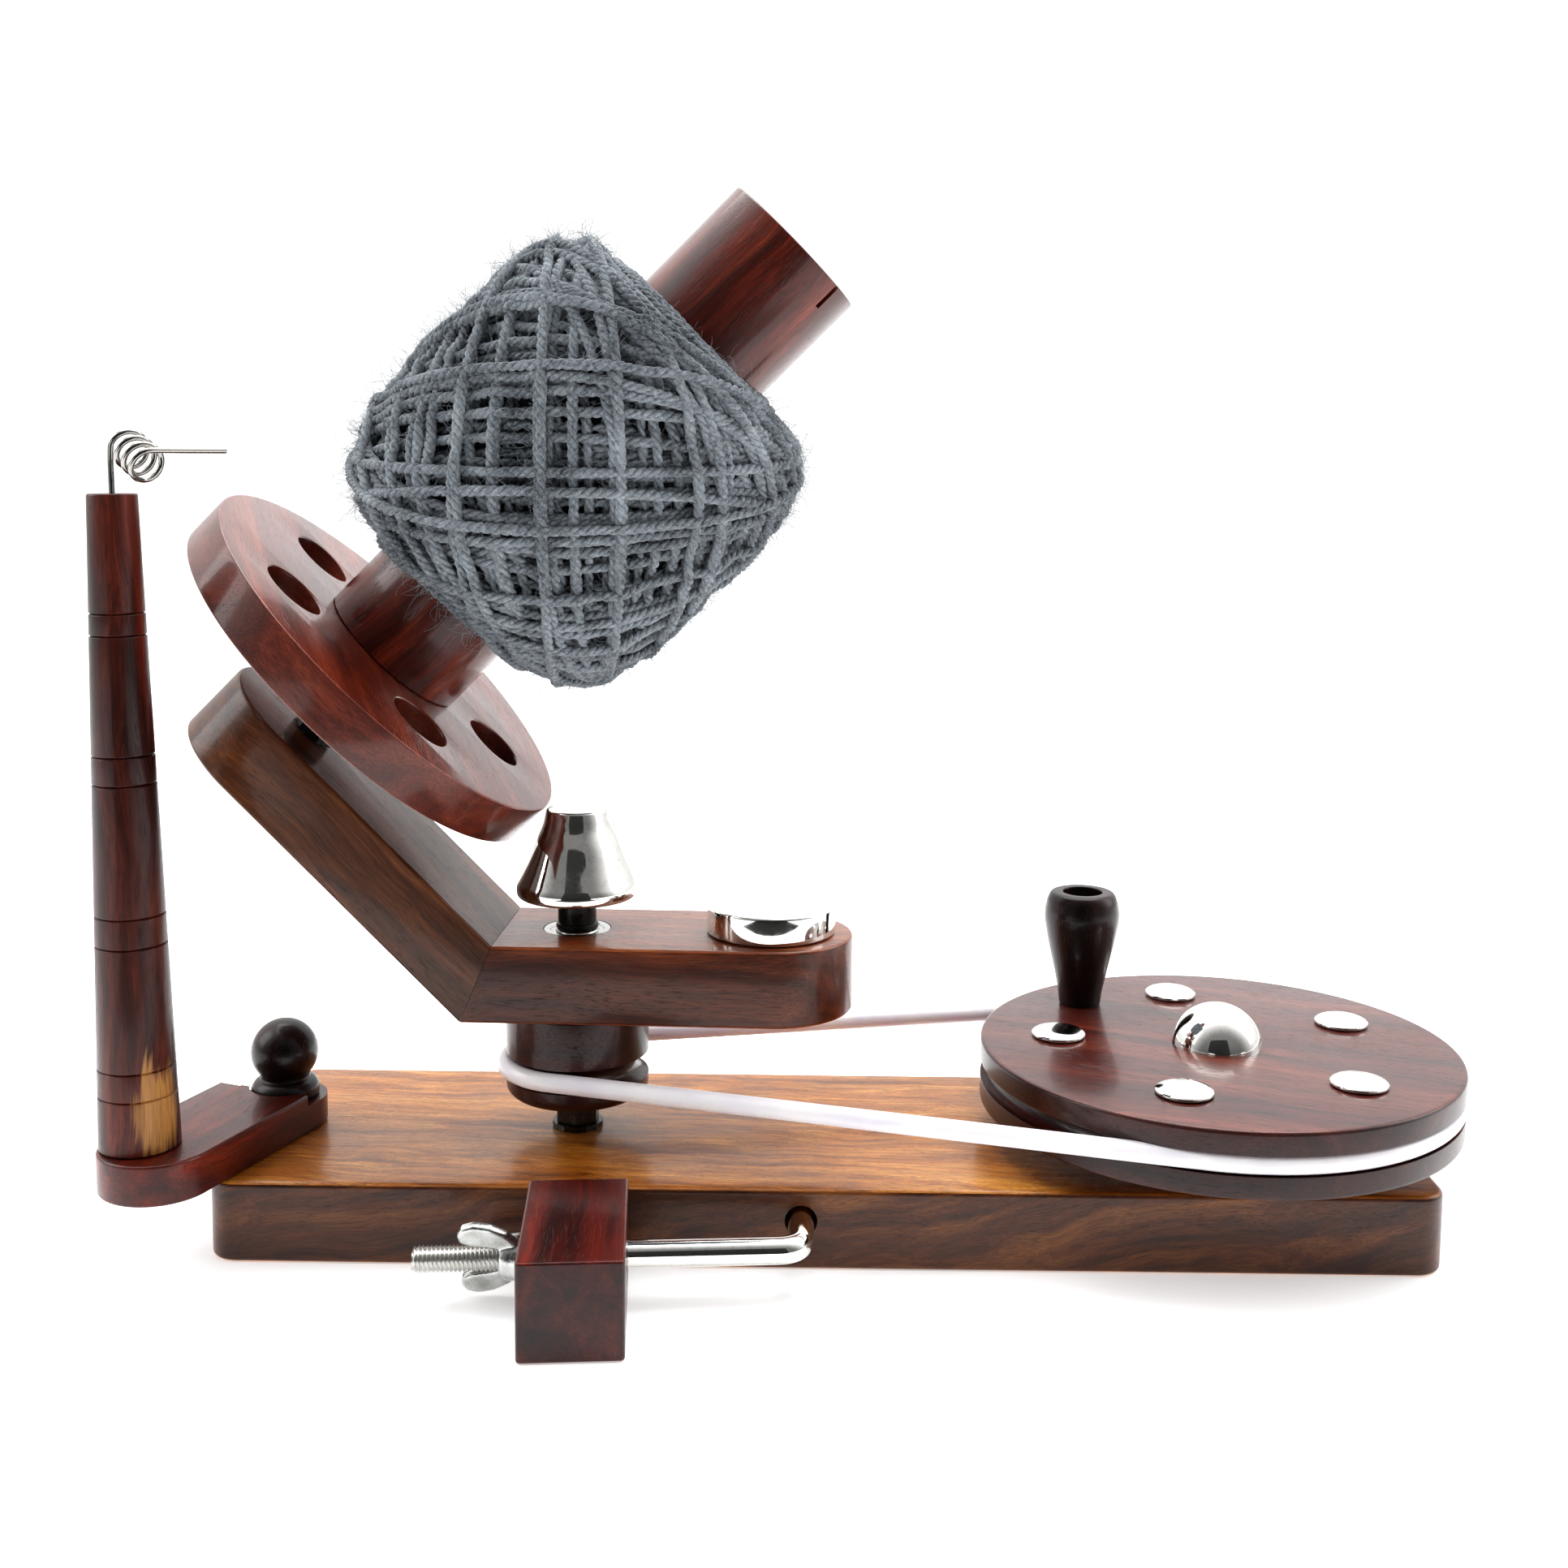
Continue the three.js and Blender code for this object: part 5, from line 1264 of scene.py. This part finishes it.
def make_studio():
    n = Nodes("floor")
    cloud = n.noise(n.place(), 6.0, 2)
    colour = n.mix(n.grey(cloud, 0.3, 0.7), rgb("f4f4f5"), rgb("f7f7f7"))
    floor_material = n.finish(Base_Color=colour, Roughness=n.grey(cloud, 0.3, 0.7, 0.5, 0.6),
                              Emission_Color=(1, 1, 1, 1), Emission_Strength=0.36)
    mesh = to_mesh("floor", [(-6, -6, 0), (6, -6, 0), (6, 6, 0), (-6, 6, 0)], [(0, 1, 2, 3)])
    mesh.materials.append(floor_material)
    floor = placed("floor", mesh)

    world = bpy.data.worlds.new("studio")
    SCENE.world = world
    world.use_nodes = True
    tree = world.node_tree
    background = tree.nodes["Background"]
    direction = tree.nodes.new("ShaderNodeTexCoord").outputs["Generated"]
    parts = tree.nodes.new("ShaderNodeSeparateXYZ")
    tree.links.new(direction, parts.inputs[0])
    height = tree.nodes.new("ShaderNodeMapRange")
    front = tree.nodes.new("ShaderNodeMapRange")
    ranges = ((height, "Z", -0.1, 0.75, 0.85, 1.55), (front, "Y", -0.7, 0.15, 0.16, 1.0))
    for node, axis, low, high, bottom, top in ranges:
        node.interpolation_type = "SMOOTHSTEP"
        for key, value in {"From Min": low, "From Max": high, "To Min": bottom, "To Max": top}.items():
            node.inputs[key].default_value = value
        tree.links.new(parts.outputs[axis], node.inputs["Value"])
    both = tree.nodes.new("ShaderNodeMath")
    both.operation = "MULTIPLY"
    tree.links.new(height.outputs["Result"], both.inputs[0])
    tree.links.new(front.outputs["Result"], both.inputs[1])
    path = tree.nodes.new("ShaderNodeLightPath")
    either = tree.nodes.new("ShaderNodeMath")
    either.operation = "MAXIMUM"
    tree.links.new(both.outputs[0], either.inputs[0])
    tree.links.new(path.outputs["Is Camera Ray"], either.inputs[1])
    tree.links.new(either.outputs[0], background.inputs["Strength"])
    background.inputs["Color"].default_value = (1, 1, 1, 1)

    n = Nodes("dark_card")
    card_material = n.finish(Base_Color=rgb("0a0a0a"), Roughness=0.9)
    corners = [(-0.4, -0.33, 0.001), (0.4, -0.33, 0.001), (0.4, -0.75, 0.001), (-0.4, -0.75, 0.001),
               (-0.34, -0.75, 0.62), (0.34, -0.75, 0.62)]
    mesh = to_mesh("dark_card", corners, [(0, 1, 2, 3), (3, 2, 5, 4)])
    mesh.materials.append(card_material)
    card = placed("dark_card", mesh)
    card.visible_camera = card.visible_diffuse = card.visible_shadow = card.visible_transmission = False

    add_light("top", (0.0, 0.25, 1.3), (0, 0, 0.1), 1.4, 1.0, 14)
    add_light("left", (-1.2, -0.1, 0.8), (0, 0, 0.1), 0.7, 0.9, 6)
    add_light("right", (1.3, 0.1, 0.7), (0, 0, 0.1), 0.7, 0.9, 4)
    SCENE.view_settings.view_transform = "Standard"
    SCENE.view_settings.look = "Medium High Contrast"


def add_light(name, place, target, width, height, power):
    data = bpy.data.lights.new(name, "AREA")
    data.shape = "RECTANGLE"
    data.size, data.size_y, data.energy = width, height, power
    light = placed(name, data)
    light.location = place
    light.rotation_euler = (Vector(target) - Vector(place)).to_track_quat("-Z", "Y").to_euler()


make_camera()
make_studio()
make_base()
make_spindle()
make_arm()
make_bobbin()
make_cake()
make_wheel()
make_belt()
make_guide()
make_clamp()
repaint_hidden()

bpy.context.view_layer.update()
